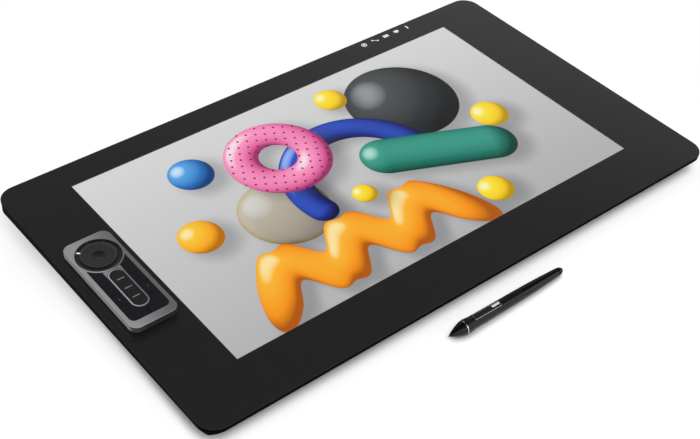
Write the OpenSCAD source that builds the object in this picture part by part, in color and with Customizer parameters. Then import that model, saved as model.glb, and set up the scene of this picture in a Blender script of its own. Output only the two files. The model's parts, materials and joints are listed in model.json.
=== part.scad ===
// Graphics tablet with a built-in screen, its key remote on the left border and its pen on the desk.
// Millimetres, Z up, desk at Z = 0, tip of the pen towards -X, rear of the tablet towards +Y.

/* [Glass and screen] */
// Width of the cover glass
glass_w = 664; // [640:1:700]
// Depth of the cover glass, front to rear
glass_d = 386; // [376:1:410]
// Thickness of the cover glass
glass_t = 2; // [1.5:0.1:3]
// Corner radius of the cover glass
glass_corner_r = 20; // [12:1:30]
// Bevel along the top edge of the cover glass
glass_edge = 0.4; // [0.2:0.1:1]
// Width of the lit picture
active_w = 522; // [500:1:530]
// Depth of the lit picture
active_d = 294; // [280:1:300]
// Dark border behind the picture, at the rear edge of the glass
rear_border = 34.5; // [30:0.5:40]
// Slope of the glass towards the user, in degrees
tilt = 3.5; // [2:0.5:5]
// Height of the glass above the desk along its rear edge
rear_height = 47; // [44:1:56]

/* [Screen stack] */
// Thickness of the black print under the glass
print_t = 0.1; // [0.05:0.05:0.3]
// Thickness of the display cell and of the frame around it
cell_t = 1.5; // [1:0.1:2]
// Margin of the display cell outside the picture
cell_margin = 6; // [3:0.5:8]
// Thickness of the backlight
backlight_t = 4; // [3:0.5:6]
// Thickness of the pen sensor board
sensor_t = 1; // [0.6:0.1:2]
// Margin of the backlight and the pen sensor outside the display cell
tray_margin = 3; // [2:0.5:6]
// Sheet thickness of the chassis tray
tray_t = 1.5; // [1:0.1:2]

/* [Housing] */
// Height of the housing's side wall at the front
rim_front = 3.2; // [2.8:0.1:5]
// Height of the housing's side wall at the rear
rim_rear = 10.5; // [10:0.5:13]
// How far the floor starts behind the front edge
front_taper = 44; // [36:1:60]
// How far the floor ends before the rear edge
rear_taper = 26; // [20:1:32]
// Slope of the left and right undersides, in degrees
side_slope = 35; // [30:1:45]
// Wall thickness of the housing
wall = 2.4; // [1.8:0.1:3]
// Height of the floor above the desk
foot_h = 2.5; // [2:0.1:4]
// Spacing of the four stand screws
stand_pitch = 100; // [75:25:100]
// Radius of the thread in a stand insert
stand_thread_r = 2; // [1.5:0.1:2.5]

/* [Legs and fans] */
// Width of a fold-out leg
leg_w = 60; // [40:1:66]
// Length of a leg from its hinge to its end
leg_l = 108; // [80:1:115]
// Thickness of a leg
leg_t = 8; // [6:0.5:9]
// Radius of a hinge pin
hinge_pin_r = 1.5; // [1:0.1:2]
// Side of a square fan housing
fan_size = 60; // [50:1:66]
// Height of a fan
fan_h = 12; // [9:1:14]
// Number of blades on a fan
fan_blades = 9; // [5:1:13]

/* [Key remote] */
// Width of the remote
remote_w = 51; // [50:0.5:56]
// Length of the remote
remote_l = 133; // [131:1:140]
// Height of the remote above the glass
remote_h = 10; // [10:0.5:12]
// Corner radius of the remote
remote_corner_r = 9; // [6:0.5:12]
// Radius of the touch ring
ring_r = 22.8; // [20:0.2:23]
// Width of the field of dark keys
field_w = 42.8; // [41:0.2:44]
// Width of the middle key strip
strip_w = 15; // [13:0.5:16]
// Length of the middle key strip
strip_l = 54; // [50:1:56]
// Width of the pale line round the ring and the strip
line_w = 2; // [1.6:0.1:2.4]
// Travel of a remote key
key_travel = 0.6; // [0.4:0.1:0.7]

/* [Pen] */
// Length of the pen
pen_l = 157; // [150:1:165]
// Radius of the flare behind the pen's nose
pen_flare_r = 7.5; // [7.2:0.1:8]
// Radius of the grip behind the flare
pen_waist_r = 6.7; // [6.3:0.1:7.1]
// Radius at the tail of the pen
pen_tail_r = 4.3; // [4.1:0.1:4.8]
// Distance from the front edge of the glass to the pen's tip
pen_gap = 25.6; // [20:0.1:40]
// Place of the pen's tip along the tablet
pen_tip_x = -78.2; // [-150:0.1:0]
// Turn of the pen on the desk, in degrees
pen_yaw = 0.8; // [0:0.1:3]

/* [Hidden] */
$fn = 64;

// Clearances: loose, running, seated; and lengths that pass right through
slip = 0.3;
bore_room = 0.05;
seat = 0.02;
through = 20;
far = 80;

// Pen, measured along its axis from the tip
nose_at = 19;
ring_at = 19.8;
flare_at = 21.5;
waist_at = 33;
barrel_at = 97;
shoulder_at = 106;
tail_l = 8;
tail_at = pen_l - tail_l;
nib_r = 0.8;
nib_l = 15.8;
nib_out = 2.2;
nib_travel = 0.5;
eraser_travel = 1;
eraser_step = 0.2;
stem_r = 2.2;
stem_l = 8.5;
tail_wall = 4;
neck_r = 1.5;
ring_step = 0.1;
cone_step = 0.25;
cone_room_at = 15;
cone_steps = 12;
nib_behind = 1.7;
core_at = nib_l + nib_travel + nib_behind;
core_short = 16;
core_end_at = tail_at - core_short;
pen_steps = 36;
pen_roll = 5;

// The pen's radius: level on the flare, eased to the waist, then a slow fall and a faster one to the tail
waist_fall = 0.0103;
taper_power = 1.3;
tail_drop = pen_waist_r - waist_fall * (tail_at - waist_at) - pen_tail_r;
function ease(t) = (1 - cos(180 * max(0, min(1, t)))) / 2;
function mix(a, b, t) = a + (b - a) * t;
function barrel_r(a) = pen_waist_r - waist_fall * max(0, a - waist_at)
    - tail_drop * pow(max(0, a - shoulder_at) / (tail_at - shoulder_at), taper_power);
function pen_r(a) = mix(pen_flare_r, barrel_r(a), ease((a - flare_at) / (waist_at - flare_at)));
function cone_r(a) = let (t = (a - nib_out) / (nose_at - nib_out))
    mix(neck_r, pen_flare_r - cone_step, (t + sin(90 * t)) / 2);

// The pen lies on its flare and on the first point of the barrel that meets the desk
pen_pitch = min([for (k = [1:pen_steps]) let (a = mix(waist_at, tail_at, k / pen_steps))
    atan2(pen_flare_r - pen_r(a), a - flare_at)]);
pen_z = pen_flare_r * cos(pen_pitch) + flare_at * sin(pen_pitch);
pen_lead = cos(pen_pitch) * sin(pen_yaw);
pen_front = max([for (k = [0:pen_steps]) let (a = mix(ring_at, tail_at, k / pen_steps))
    pen_r(a) * sqrt(1 - pen_lead * pen_lead) - a * pen_lead]);

// Rocker of the pen: its pin under the grip's surface, the slot below it and the bore below that
rocker_from = 32.6;
rocker_to = 66.2;
rocker_at = (rocker_from + rocker_to) / 2;
rocker_w = 5;
rocker_proud = 0.35;
rocker_pin_r = 0.4;
rocker_pin_deep = 1.45;
rocker_under = 0.65;
rocker_swing = 0.6;
slot_floor_t = 0.35;
pin_hold = 0.4;
core_room = 0.2;
rocker_pin_x = pen_r(rocker_at) - rocker_pin_deep;
rocker_pin_l = rocker_w + 2 * (slip + pin_hold);
rocker_low = rocker_pin_x - rocker_under;
rocker_floor = rocker_low - rocker_swing;
pen_bore_r = rocker_floor - slot_floor_t;
core_r = pen_bore_r - core_room;

// Heights in the glass's own plane, where the top of the glass is zero
print_z = -glass_t - print_t;
frame_z = print_z - cell_t;
light_z = frame_z - backlight_t;
sensor_z = light_z - sensor_t;
tray_z = sensor_z - tray_t;
rim_z = -glass_t - slip;

// Places along the slope, measured from the middle of the glass
edge_inset = 0.4;
half_w = glass_w / 2 - edge_inset;
half_d = glass_d / 2 - edge_inset;
active_y = glass_d / 2 - rear_border - active_d / 2;
inner_y = half_d - wall;
cell_w = active_w + 2 * cell_margin;
cell_d = active_d + 2 * cell_margin;
stack_w = cell_w + 2 * tray_margin;
stack_d = cell_d + 2 * tray_margin;
tray_room = 0.5;
frame_room = 2;
frame_in = cell_w / 2 + tray_room;
frame_out = half_w - wall - frame_room;
tray_w = stack_w + 2 * (tray_room + tray_t);
tray_d = stack_d + 2 * (tray_room + tray_t);

// Rear edge: sockets and switches on their board
io_t = 1.2;
io_drop = 8.5;
io_d = 14.3;
io_z = rim_z - io_drop;
io_rear_y = inner_y - 3.7;
io_front_y = io_rear_y - io_d;
io_end = 20;
io_post_r = 2.5;
port_l = 16.1;
port_mouth_y = half_d - slip;
port_back_y = port_mouth_y - port_l;
port_back_t = 3;
port_shell = 0.5;
tongue_t = 0.8;
tongue_in = 2;
// Each socket's place, width and height
PORTS = [[-80, 15.2, 5.6], [-55, 16.2, 5.2], [-30, 9.2, 3.4], [-12, 9.2, 3.4]];
jack_x = 16;
jack_side = 5.8;
jack_bore_r = 2.4;
jack_pin_r = 0.8;
switch_lift = 3.2;
switch_z = io_z + switch_lift;
switch_h = 5.4;
switch_w = 8;
switch_back_y = io_front_y + 2;
button_in = 82;
button_x = glass_w / 2 - button_in;
button_w = 12;
button_h = 3.6;
button_proud = 0.6;
button_travel = 0.5;
slider_gap = 38;
slider_x = button_x - slider_gap;
slider_w = 5;
slider_h = 3;
slider_travel = 3;
flange_t = 1.2;
flange_side = 1;
flange_y = inner_y - slip - flange_t;
stub_y = flange_y - 2;
groove_r = 0.3;
io_left_x = PORTS[0][0] - io_end;
io_right_x = button_x + io_end;

// The sloping glass in the frame of the desk: the whole set is centred front to rear
rear_reach = max(half_d * cos(tilt) + (rim_rear - rim_z) * sin(tilt),
    (half_d + button_proud) * cos(tilt) + (button_h / 2 - switch_z) * sin(tilt));
front_reach = glass_d / 2 * cos(tilt) + pen_gap + pen_front;
slab_y = (front_reach - rear_reach) / 2;
slab_z = rear_height - glass_d / 2 * sin(tilt);
function desk_y(y, z) = slab_y + y * cos(tilt) - z * sin(tilt);
function desk_z(y, z) = slab_z + y * sin(tilt) + z * cos(tilt);

// Lower corners of the side wall and ends of the floor, as desk Y and Z
rim_f = [desk_y(-half_d, rim_z - rim_front), desk_z(-half_d, rim_z - rim_front)];
rim_r = [desk_y(half_d, rim_z - rim_rear), desk_z(half_d, rim_z - rim_rear)];
floor_f = [rim_f[0] + front_taper, foot_h];
floor_r = [rim_r[0] - rear_taper, foot_h];
rim_slope = atan2(rim_r[1] - rim_f[1], rim_r[0] - rim_f[0]);
floor_top = foot_h + wall;

// What stands on the floor of the housing
row_inset = 19;
front_row_y = floor_f[0] + row_inset;
rear_row_y = floor_r[0] - row_inset;
pocket_room = 0.6;
pocket_back = 7;
pocket_end = 4;
hinge_ahead = 15;
leg_sink = 0.7;
leg_head = 1.3;
hinge_y = rear_row_y - pocket_back - wall - hinge_ahead;
hinge_z = foot_h + leg_sink + leg_t / 2;
pocket_top = foot_h + leg_sink + leg_t + leg_head;
hinge_cap = 0.5;
hinge_pin_l = leg_w + 2 * (pocket_room + wall - hinge_cap);
leg_pad_l = 10;
slot_side = 3;
slot_pitch = 6;
slot_w = 3;
slot_l = 40;
slot_h = 9;
fan_rim = 2.5;
fan_bore_r = fan_size / 2 - fan_rim;
hub_r = 9.6;
shaft_r = 1.5;
fan_floor = 1.5;
rotor_gap = 0.5;
strut_w = 4;
blade_t = 1;
blade_low = 3;
rotor_low = fan_floor + rotor_gap;
blade_slope = 38;
board_d = 74;
board_t = 1.6;
board_lift = 6;
sink_w = 64;
sink_d = 44;
sink_h = 8;
sink_base = 2;
fin_t = 1.2;
bay_gap = 10;
leg_gap = 35;
leg_edge = 96.6;
leg_x = half_w - leg_edge;
fan_x = leg_x - leg_w / 2 - leg_gap - fan_size / 2;
board_w = 2 * (fan_x - fan_size / 2 - bay_gap);
fan_ahead = 20;
fan_y = hinge_y - fan_ahead;
board_behind = 10;
board_y = hinge_y + board_behind - board_d / 2;
board_edge = 6;
board_post_r = 3;
board_z = floor_top + board_lift;
chip_top = board_z + board_t;
core_chip_h = 2;
core_chip_w = 30;
memory_w = 12;
memory_d = 16;
memory_h = 1.2;
memory_gap = 5;
regulator_w = 16;
regulator_d = 12;
regulator_h = 4;
capacitor_r = 4;
capacitor_h = 7;
part_edge = 10;
part_y = board_d / 4;
// Chips: place on the board across and along, width, depth and height
CHIPS = concat([[0, 0, core_chip_w, core_chip_w, core_chip_h]],
    [for (s = [-1, 1]) for (k = [0, 1]) [s * (core_chip_w / 2 + memory_w / 2 + memory_gap
        + k * (memory_w + memory_gap)), 0, memory_w, memory_d, memory_h]],
    [for (s = [-1, 1]) [s * (board_w / 2 - part_edge - regulator_w / 2), -part_y,
        regulator_w, regulator_d, regulator_h]]);
CAPACITORS = [for (s = [-1, 1]) for (k = [0, 1])
    s * (board_w / 2 - part_edge - capacitor_r - 3 * k * capacitor_r)];
post_r = 4;
screw_shaft_r = 1.25;
// Height of the tray's underside over the front posts
front_row_s = (front_row_y - slab_y + tray_z * sin(tilt)) / cos(tilt);
front_post_h = desk_z(front_row_s, tray_z) - floor_top;
screw_share = 0.57;
screw_bite = screw_share * front_post_h;
screw_drive_r = 1.2;
screw_drive_h = 0.7;
screw_head_r = 3;
screw_head_h = 1.1;
foot_l = 70;
foot_w = 14;
foot_sink = 1;
foot_gap = 20;
front_foot_x = leg_x - foot_l / 2 - foot_gap;
rear_foot_x = fan_x + foot_gap / 2;
insert_r = 3.5;
insert_l = 8;
POSTS = [for (x = [-leg_x, 0, leg_x]) for (y = [front_row_y, rear_row_y]) [x, y]];
FEET = [for (s = [-1, 1]) for (p = [[front_foot_x, front_row_y], [rear_foot_x, rear_row_y]])
    [s * p[0], p[1]]];
STAND = [for (x = [-1, 1]) for (y = [-1, 1]) [x, y] * stand_pitch / 2];

// Touch keys behind the glass, in the rear border
touch_count = 5;
touch_pitch = 17.1;
touch_end = 109.3;
touch_first_x = glass_w / 2 - touch_end - (touch_count - 1) * touch_pitch;
touch_in = 9.5;
touch_y = glass_d / 2 - touch_in;
lamp_w = 9;
lamp_d = 7.5;

// Remote, measured from its own middle on top of the glass
remote_x = -(active_w + glass_w) / 4;
remote_ahead = 5;
remote_y = active_y - remote_ahead;
magnet_x = (frame_in + frame_out) / 2;
magnet_w = 20;
magnet_end = 22;
magnet_l = active_d - 2 * magnet_end;
pad_t = 0.5;
remote_wall = 2.2;
base_t = 1.2;
base_floor = pad_t + base_t;
base_inset = 2;
base_flare = 3;
base_post_r = 2.5;
base_post_in = 7;
frame_t = 2;
frame_edge = 0.5;
frame_low = remote_h - frame_t;
key_room = 0.25;
key_stop = 0.1;
key_t = 3.2;
key_proud = 0.2;
key_high = remote_h + key_proud;
key_low = key_high - key_t;
dome_high = key_low - key_travel - key_stop;
dome_t = 1.2;
pcb_t = 1.2;
pcb_high = dome_high - dome_t;
pcb_low = pcb_high - pcb_t;
pcb_room = 0.5;
ring_margin = 6;
ring_hole_r = ring_r + key_room;
ring_y = remote_l / 2 - ring_margin - ring_hole_r;
ring_low = frame_low - 0.8;
ring_wall = 1.5;
groove_w = 5.9;
groove_sink = 1;
groove_mid_r = ring_r - groove_w / 2;
disc_r = ring_r - groove_w;
disc_sink = 0.1;
lip_w = 0.7;
lip_sink = 0.5;
button_r = 6;
dish_sink = 1;
lamp_bar_l = 4;
lamp_bar_w = 1.6;
LAMP_ANGLES = [135, 90, 45];
field_margin = 9;
field_low = -remote_l / 2 + field_margin;
field_corner_r = 6;
strip_y = ring_y - ring_hole_r - 2 * line_w - strip_l / 2;
strip_line_w = strip_w + 2 * line_w;
key_gap = 0.5;
row_pitch = 16;
first_row = 14;
ROWS = [ring_y, for (k = [0:2]) strip_y + first_row - k * row_pitch];
rib_pitch = 13.8;
rib_w = 8;
rib_d = 1.1;
rib_h = 0.4;
STRIP_CUTS = [for (k = [1, rib_pitch / strip_l, -rib_pitch / strip_l, -1]) strip_y + k * strip_l / 2];
column_x = (strip_line_w + field_w) / 4;
DOMES = concat([[0, ring_y]],
    [for (k = [0:2]) [0, (STRIP_CUTS[k] + STRIP_CUTS[k + 1]) / 2]],
    [for (s = [-1, 1]) for (k = [1:3]) [s * column_x, ROWS[k] + row_pitch / 2]],
    [for (s = [-1, 1]) [s * column_x, ROWS[3] - row_pitch / 2]]);
battery_w = 34;
battery_l = 60;
battery_y = 10;
dome_r = 3;
pad_in = 16;
pad_d = 10;
usb_w = 8;
usb_h = 2.4;
usb_l = 6;
usb_shell = 0.4;
usb_in = 0.5;

// Shared shapes

module rounded(w, d, r) {
    square([w - 2 * r, d], center = true);
    square([w, d - 2 * r], center = true);
    for (x = [-1, 1]) for (y = [-1, 1])
        translate([x * (w / 2 - r), y * (d / 2 - r)]) circle(r);
}

module stadium(w, d) {
    r = min(w, d) / 2;
    square([w - (w > d ? 2 * r : 0), d - (w > d ? 0 : 2 * r)], center = true);
    for (s = [-1, 1]) translate(w > d ? [s * (w / 2 - r), 0] : [0, s * (d / 2 - r)]) circle(r);
}

// Slab with rounded corners and a bevel along its top edge, from two crossed prisms and four turned corners
module bevelled_slab(low, high, w, d, r, edge) {
    brow = high - edge;
    rotate([90, 0, 90]) linear_extrude(w - 2 * r, center = true)
        polygon([[-d / 2, low], [d / 2, low], [d / 2, brow], [d / 2 - edge, high], [edge - d / 2, high],
            [-d / 2, brow]]);
    rotate([90, 0, 0]) linear_extrude(d - 2 * r, center = true)
        polygon([[-w / 2, low], [w / 2, low], [w / 2, brow], [w / 2 - edge, high], [edge - w / 2, high],
            [-w / 2, brow]]);
    for (x = [-1, 1]) for (y = [-1, 1]) translate([x * (w / 2 - r), y * (d / 2 - r), 0])
        rotate_extrude() polygon([[0, low], [r, low], [r, brow], [r - edge, high], [0, high]]);
}

module block(low, high) {
    translate(low) cube(high - low);
}

module layer(low, high) {
    translate([0, 0, low]) linear_extrude(high - low) children();
}

module on_slab() {
    translate([0, slab_y, slab_z]) rotate([tilt, 0, 0]) children();
}

module at_active() {
    translate([0, active_y]) children();
}

// Screen stack

module glass_outline(inset) {
    rounded(glass_w - 2 * inset, glass_d - 2 * inset, glass_corner_r - inset);
}

module cover_glass() {
    color([0.1, 0.1, 0.11]) on_slab()
        bevelled_slab(-glass_t, 0, glass_w, glass_d, glass_corner_r, glass_edge);
}

module border_print() {
    color([0.05, 0.05, 0.05]) on_slab() layer(print_z, -glass_t) difference() {
        glass_outline(slip);
        at_active() square([active_w + 1, active_d + 1], center = true);
    }
}

module lcd_panel() {
    color([0.75, 0.75, 0.76]) on_slab() layer(frame_z, print_z)
        at_active() square([cell_w, cell_d], center = true);
}

module backlight() {
    color([0.9, 0.9, 0.88]) on_slab() layer(light_z, frame_z)
        at_active() square([stack_w, stack_d], center = true);
}

module pen_sensor() {
    color([0.1, 0.3, 0.2]) on_slab() layer(sensor_z, light_z)
        at_active() square([stack_w, stack_d], center = true);
}

module chassis_tray() {
    color([0.6, 0.61, 0.63]) difference() {
        union() {
            on_slab() difference() {
                layer(tray_z, frame_z) at_active() square([tray_w, tray_d], center = true);
                layer(sensor_z, frame_z + 1)
                    at_active() square([tray_w - 2 * tray_t, tray_d - 2 * tray_t], center = true);
            }
            intersection() {
                for (p = POSTS) translate([p[0], p[1], floor_top]) cylinder(r = post_r, h = far);
                on_slab() layer(-far, tray_z + tray_t / 2)
                    at_active() square([tray_w, tray_d], center = true);
            }
        }
        for (p = POSTS) translate([p[0], p[1], floor_top - 1])
            cylinder(r = screw_shaft_r + bore_room, h = screw_bite + 2);
    }
}

module chassis_frame() {
    color([0.25, 0.25, 0.26]) on_slab() layer(frame_z, print_z) difference() {
        glass_outline(edge_inset + wall + frame_room);
        at_active() square([2 * frame_in, cell_d + 2 * tray_room], center = true);
        for (k = [0:touch_count - 1]) translate([touch_first_x + k * touch_pitch, touch_y])
            square([lamp_w + slip, lamp_d + slip], center = true);
        for (s = [-1, 1]) translate([s * magnet_x, active_y])
            square([magnet_w + slip, magnet_l + slip], center = true);
    }
}

module bezel_magnets() {
    color([0.7, 0.7, 0.72]) on_slab() layer(frame_z + slip, print_z)
        for (s = [-1, 1]) translate([s * magnet_x, active_y]) square([magnet_w, magnet_l], center = true);
}

module key_lamps() {
    color([0.95, 0.95, 0.95]) on_slab() layer(frame_z + slip, print_z)
        for (k = [0:touch_count - 1]) translate([touch_first_x + k * touch_pitch, touch_y])
            square([lamp_w, lamp_d], center = true);
}

// Housing

// Front slope, floor and rear slope, carried across the width
module depth_prism() {
    over = 20;
    ahead = rim_f + (rim_f - floor_f) / front_taper * over;
    behind = rim_r + (rim_r - floor_r) / rear_taper * over;
    rotate([90, 0, 90]) linear_extrude(2 * glass_w, center = true)
        polygon([floor_f, floor_r, behind, [behind[0], 2 * rear_height], [ahead[0], 2 * rear_height], ahead]);
}

// Left and right slopes, carried along the lower edge of the side wall
module width_prism() {
    over = 20;
    drop = rear_height / tan(side_slope) + over;
    corner = [half_w + over, over * tan(side_slope)];
    foot = [half_w - drop, -drop * tan(side_slope)];
    translate([0, rim_f[0], rim_f[1]]) rotate([rim_slope, 0, 0]) rotate([90, 0, 0])
        linear_extrude(3 * glass_d, center = true)
            polygon([corner, [corner[0], 2 * rear_height], [-corner[0], 2 * rear_height],
                [-corner[0], corner[1]], [-foot[0], foot[1]], foot]);
}

module housing_solid(inset, lift, top) {
    intersection() {
        on_slab() layer(-far, top) glass_outline(edge_inset + inset);
        translate([0, 0, lift]) depth_prism();
        translate([0, 0, lift]) width_prism();
    }
}

module leg_pocket(grow, bottom, top) {
    room = leg_w / 2 + pocket_room + grow;
    for (s = [-1, 1]) block([s * leg_x - room, hinge_y - leg_l - pocket_end - grow, bottom],
        [s * leg_x + room, hinge_y + pocket_back + grow, top]);
}

module inside_posts() {
    for (p = STAND) translate([p[0], p[1], foot_h]) cylinder(r = insert_r + wall, h = insert_l);
    for (x = [-1, 1]) for (y = [-1, 1])
        translate([x * (board_w / 2 - board_edge), board_y + y * (board_d / 2 - board_edge), foot_h])
            cylinder(r = board_post_r, h = board_z - foot_h);
    intersection() {
        on_slab() for (k = [0:3]) translate([mix(io_left_x + io_end / 2, io_right_x - io_end / 2, k / 3),
            io_front_y + io_post_r, -far]) cylinder(r = io_post_r, h = far + io_z - io_t);
        housing_solid(0, 0, rim_z);
    }
}

module vent_slots() {
    for (s = [-1, 1]) for (k = [-slot_side:slot_side]) {
        translate([s * fan_x, fan_y + k * slot_pitch, 0]) linear_extrude(floor_top + 1)
            stadium(slot_l, slot_w);
        translate([s * fan_x + k * slot_pitch, floor_r[0], floor_top + slot_w])
            block([-slot_w / 2, 0, 0], [slot_w / 2, rear_taper, slot_h]);
    }
}

module rear_openings() {
    on_slab() {
        for (p = PORTS) block([p[0] - p[1] / 2 - slip, io_rear_y - 2, io_z - slip],
            [p[0] + p[1] / 2 + slip, half_d + 1, io_z + p[2] + slip]);
        block([jack_x - jack_side / 2 - slip, io_rear_y - 2, io_z - slip],
            [jack_x + jack_side / 2 + slip, half_d + 1, io_z + jack_side + slip]);
        translate([button_x, half_d + 1, switch_z]) rotate([90, 0, 0])
            linear_extrude(wall + 2) stadium(button_w + 2 * slip, button_h + 2 * slip);
        block([slider_x - slider_w / 2 - slip, inner_y - 1, switch_z - slider_h / 2 - slip],
            [slider_x + slider_w / 2 + slider_travel + slip, half_d + 1, switch_z + slider_h / 2 + slip]);
    }
}

module rear_cover() {
    color([0.08, 0.08, 0.085]) difference() {
        union() {
            difference() {
                housing_solid(0, 0, rim_z);
                housing_solid(wall, wall, 1);
            }
            leg_pocket(wall, foot_h, pocket_top + wall);
            inside_posts();
        }
        leg_pocket(0, 0, pocket_top);
        for (s = [-1, 1]) translate([s * leg_x, hinge_y, hinge_z]) rotate([0, 90, 0])
            cylinder(r = hinge_pin_r + seat, h = hinge_pin_l + 2 * seat, center = true);
        for (p = POSTS) translate([p[0], p[1], 0]) {
            cylinder(r = screw_shaft_r + slip, h = through);
            cylinder(r = screw_head_r + slip, h = foot_h + screw_head_h);
        }
        for (p = FEET) translate([p[0], p[1], 0]) linear_extrude(foot_h + foot_sink)
            stadium(foot_l + 2 * seat, foot_w + 2 * seat);
        for (p = STAND) translate([p[0], p[1], 0]) cylinder(r = insert_r + seat, h = foot_h + insert_l + 1);
        vent_slots();
        rear_openings();
    }
}

module rubber_feet() {
    color([0.12, 0.12, 0.12]) for (p = FEET) translate([p[0], p[1], 0])
        linear_extrude(foot_h + foot_sink) stadium(foot_l, foot_w);
}

module cover_screws() {
    color([0.3, 0.3, 0.32]) for (p = POSTS) translate([p[0], p[1], foot_h]) difference() {
        union() {
            cylinder(r = screw_head_r, h = screw_head_h);
            cylinder(r = screw_shaft_r, h = wall + screw_bite);
        }
        translate([0, 0, -1]) cylinder(r = screw_drive_r, h = 1 + screw_drive_h, $fn = 6);
    }
}

module stand_inserts() {
    color([0.75, 0.6, 0.3]) for (p = STAND) translate([p[0], p[1], foot_h]) difference() {
        cylinder(r = insert_r, h = insert_l);
        translate([0, 0, -1]) cylinder(r = stand_thread_r, h = insert_l + 2);
    }
}

// Rear edge

module io_board() {
    color([0.05, 0.25, 0.15]) on_slab()
        block([io_left_x, io_front_y, io_z - io_t], [io_right_x, io_rear_y, io_z]);
}

module socket(x, w, h) {
    translate([x - w / 2, port_back_y, io_z]) difference() {
        cube([w, port_l, h]);
        translate([port_shell, port_back_t, port_shell]) cube([w - 2 * port_shell, far, h - 2 * port_shell]);
    }
    block([x - w / 2 + tongue_in, port_back_y + 1, io_z + h / 2 - tongue_t / 2],
        [x + w / 2 - tongue_in, port_mouth_y - tongue_in, io_z + h / 2 + tongue_t / 2]);
}

module rear_ports() {
    color([0.7, 0.7, 0.72]) on_slab() {
        for (p = PORTS) socket(p[0], p[1], p[2]);
        translate([jack_x, port_back_y, io_z + jack_side / 2]) rotate([-90, 0, 0]) difference() {
            translate([-jack_side / 2, -jack_side / 2, 0]) cube([jack_side, jack_side, port_l]);
            difference() {
                translate([0, 0, port_back_t]) cylinder(r = jack_bore_r, h = far);
                cylinder(r = jack_pin_r, h = port_l - tongue_in);
            }
        }
    }
}

module edge_switches() {
    color([0.2, 0.2, 0.2]) on_slab() {
        block([button_x - switch_w / 2, switch_back_y, io_z],
            [button_x + switch_w / 2, stub_y - button_travel - slip, io_z + switch_h]);
        block([slider_x - switch_w / 2, switch_back_y, io_z],
            [slider_x + switch_w / 2 + slider_travel, flange_y - slip, io_z + switch_h]);
    }
}

module power_button() {
    color([0.15, 0.15, 0.16]) on_slab() translate([button_x, 0, switch_z]) rotate([-90, 0, 0]) {
        layer(stub_y, half_d + button_proud) stadium(button_w, button_h);
        layer(flange_y, flange_y + flange_t) stadium(button_w + 2 * flange_side, button_h + 2 * flange_side);
    }
}

module touch_switch() {
    plate_w = slider_w + 2 * (slider_travel + flange_side);
    color([0.15, 0.15, 0.16]) on_slab() {
        difference() {
            block([slider_x - slider_w / 2, flange_y, switch_z - slider_h / 2],
                [slider_x + slider_w / 2, half_d + button_proud, switch_z + slider_h / 2]);
            for (k = [-1:1]) translate([slider_x + k * slider_w / 3.5, half_d + button_proud, switch_z])
                cylinder(r = groove_r, h = 2 * slider_h, center = true);
        }
        block([slider_x - plate_w / 2, flange_y, switch_z - slider_h / 2 - flange_side],
            [slider_x + plate_w / 2, flange_y + flange_t, switch_z + slider_h / 2 + flange_side]);
    }
}

// Electronics and cooling

module main_board() {
    color([0.05, 0.3, 0.16]) translate([0, board_y, board_z])
        linear_extrude(board_t) square([board_w, board_d], center = true);
}

module board_chips() {
    color([0.12, 0.12, 0.13]) translate([0, board_y, chip_top]) {
        for (c = CHIPS) translate([c[0], c[1], c[4] / 2]) cube([c[2], c[3], c[4]], center = true);
        for (x = CAPACITORS) translate([x, part_y, 0]) cylinder(r = capacitor_r, h = capacitor_h);
    }
}

module heat_sink() {
    color([0.65, 0.66, 0.68]) translate([0, board_y, chip_top + core_chip_h]) {
        block([-sink_w / 2, -sink_d / 2, 0], [sink_w / 2, sink_d / 2, sink_base]);
        for (k = [-7:7]) translate([k * (sink_w - fin_t) / 14, 0, sink_h / 2])
            cube([fin_t, sink_d, sink_h], center = true);
    }
}

module fan_housing() {
    difference() {
        translate([0, 0, fan_h / 2]) cube([fan_size, fan_size, fan_h], center = true);
        translate([0, 0, fan_floor]) cylinder(r = fan_bore_r, h = fan_h);
        difference() {
            translate([0, 0, -1]) cylinder(r = fan_bore_r, h = fan_h);
            translate([0, 0, -2]) cylinder(r = hub_r, h = fan_h);
            for (a = [0, 120, 240]) rotate(a) translate([0, -strut_w / 2, -2])
                cube([fan_size, strut_w, fan_h]);
        }
    }
    cylinder(r = shaft_r, h = fan_h - rotor_low);
}

module fan_housings() {
    color([0.13, 0.13, 0.14]) for (s = [-1, 1]) translate([s * fan_x, fan_y, floor_top]) fan_housing();
}

module fan_rotor(s) {
    color([0.2, 0.2, 0.21]) translate([s * fan_x, fan_y, floor_top + rotor_low]) difference() {
        union() {
            cylinder(r = hub_r, h = fan_h - rotor_low - rotor_gap);
            for (k = [0:fan_blades - 1]) rotate(k * 360 / fan_blades) translate([hub_r - 1, 0, 1])
                rotate([blade_slope * s, 0, 0]) translate([0, -blade_t / 2, 0])
                    cube([fan_bore_r - hub_r, blade_t, fan_h - rotor_low - blade_low]);
        }
        translate([0, 0, -1]) cylinder(r = shaft_r + bore_room, h = fan_h);
    }
}

// Legs

module hinge_pins() {
    color([0.75, 0.75, 0.77]) for (s = [-1, 1]) translate([s * leg_x, hinge_y, hinge_z]) rotate([0, 90, 0])
        cylinder(r = hinge_pin_r, h = hinge_pin_l, center = true);
}

module leg(s) {
    color([0.1, 0.1, 0.105]) translate([s * leg_x, hinge_y, hinge_z]) rotate([0, 90, 0])
        linear_extrude(leg_w, center = true) difference() {
            union() {
                circle(leg_t / 2);
                translate([-leg_t / 2, leg_pad_l - leg_l]) square([leg_t, leg_l - leg_pad_l]);
            }
            circle(hinge_pin_r + bore_room);
        }
}

module leg_pad(s) {
    color([0.14, 0.14, 0.14]) translate([s * leg_x, hinge_y, hinge_z]) rotate([0, 90, 0])
        linear_extrude(leg_w, center = true) {
            translate([0, leg_t / 2 - leg_l]) circle(leg_t / 2);
            translate([-leg_t / 2, leg_t / 2 - leg_l]) square([leg_t, leg_pad_l - leg_t / 2]);
        }
}

// Remote

module on_remote() {
    on_slab() translate([remote_x, remote_y, seat]) children();
}

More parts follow.
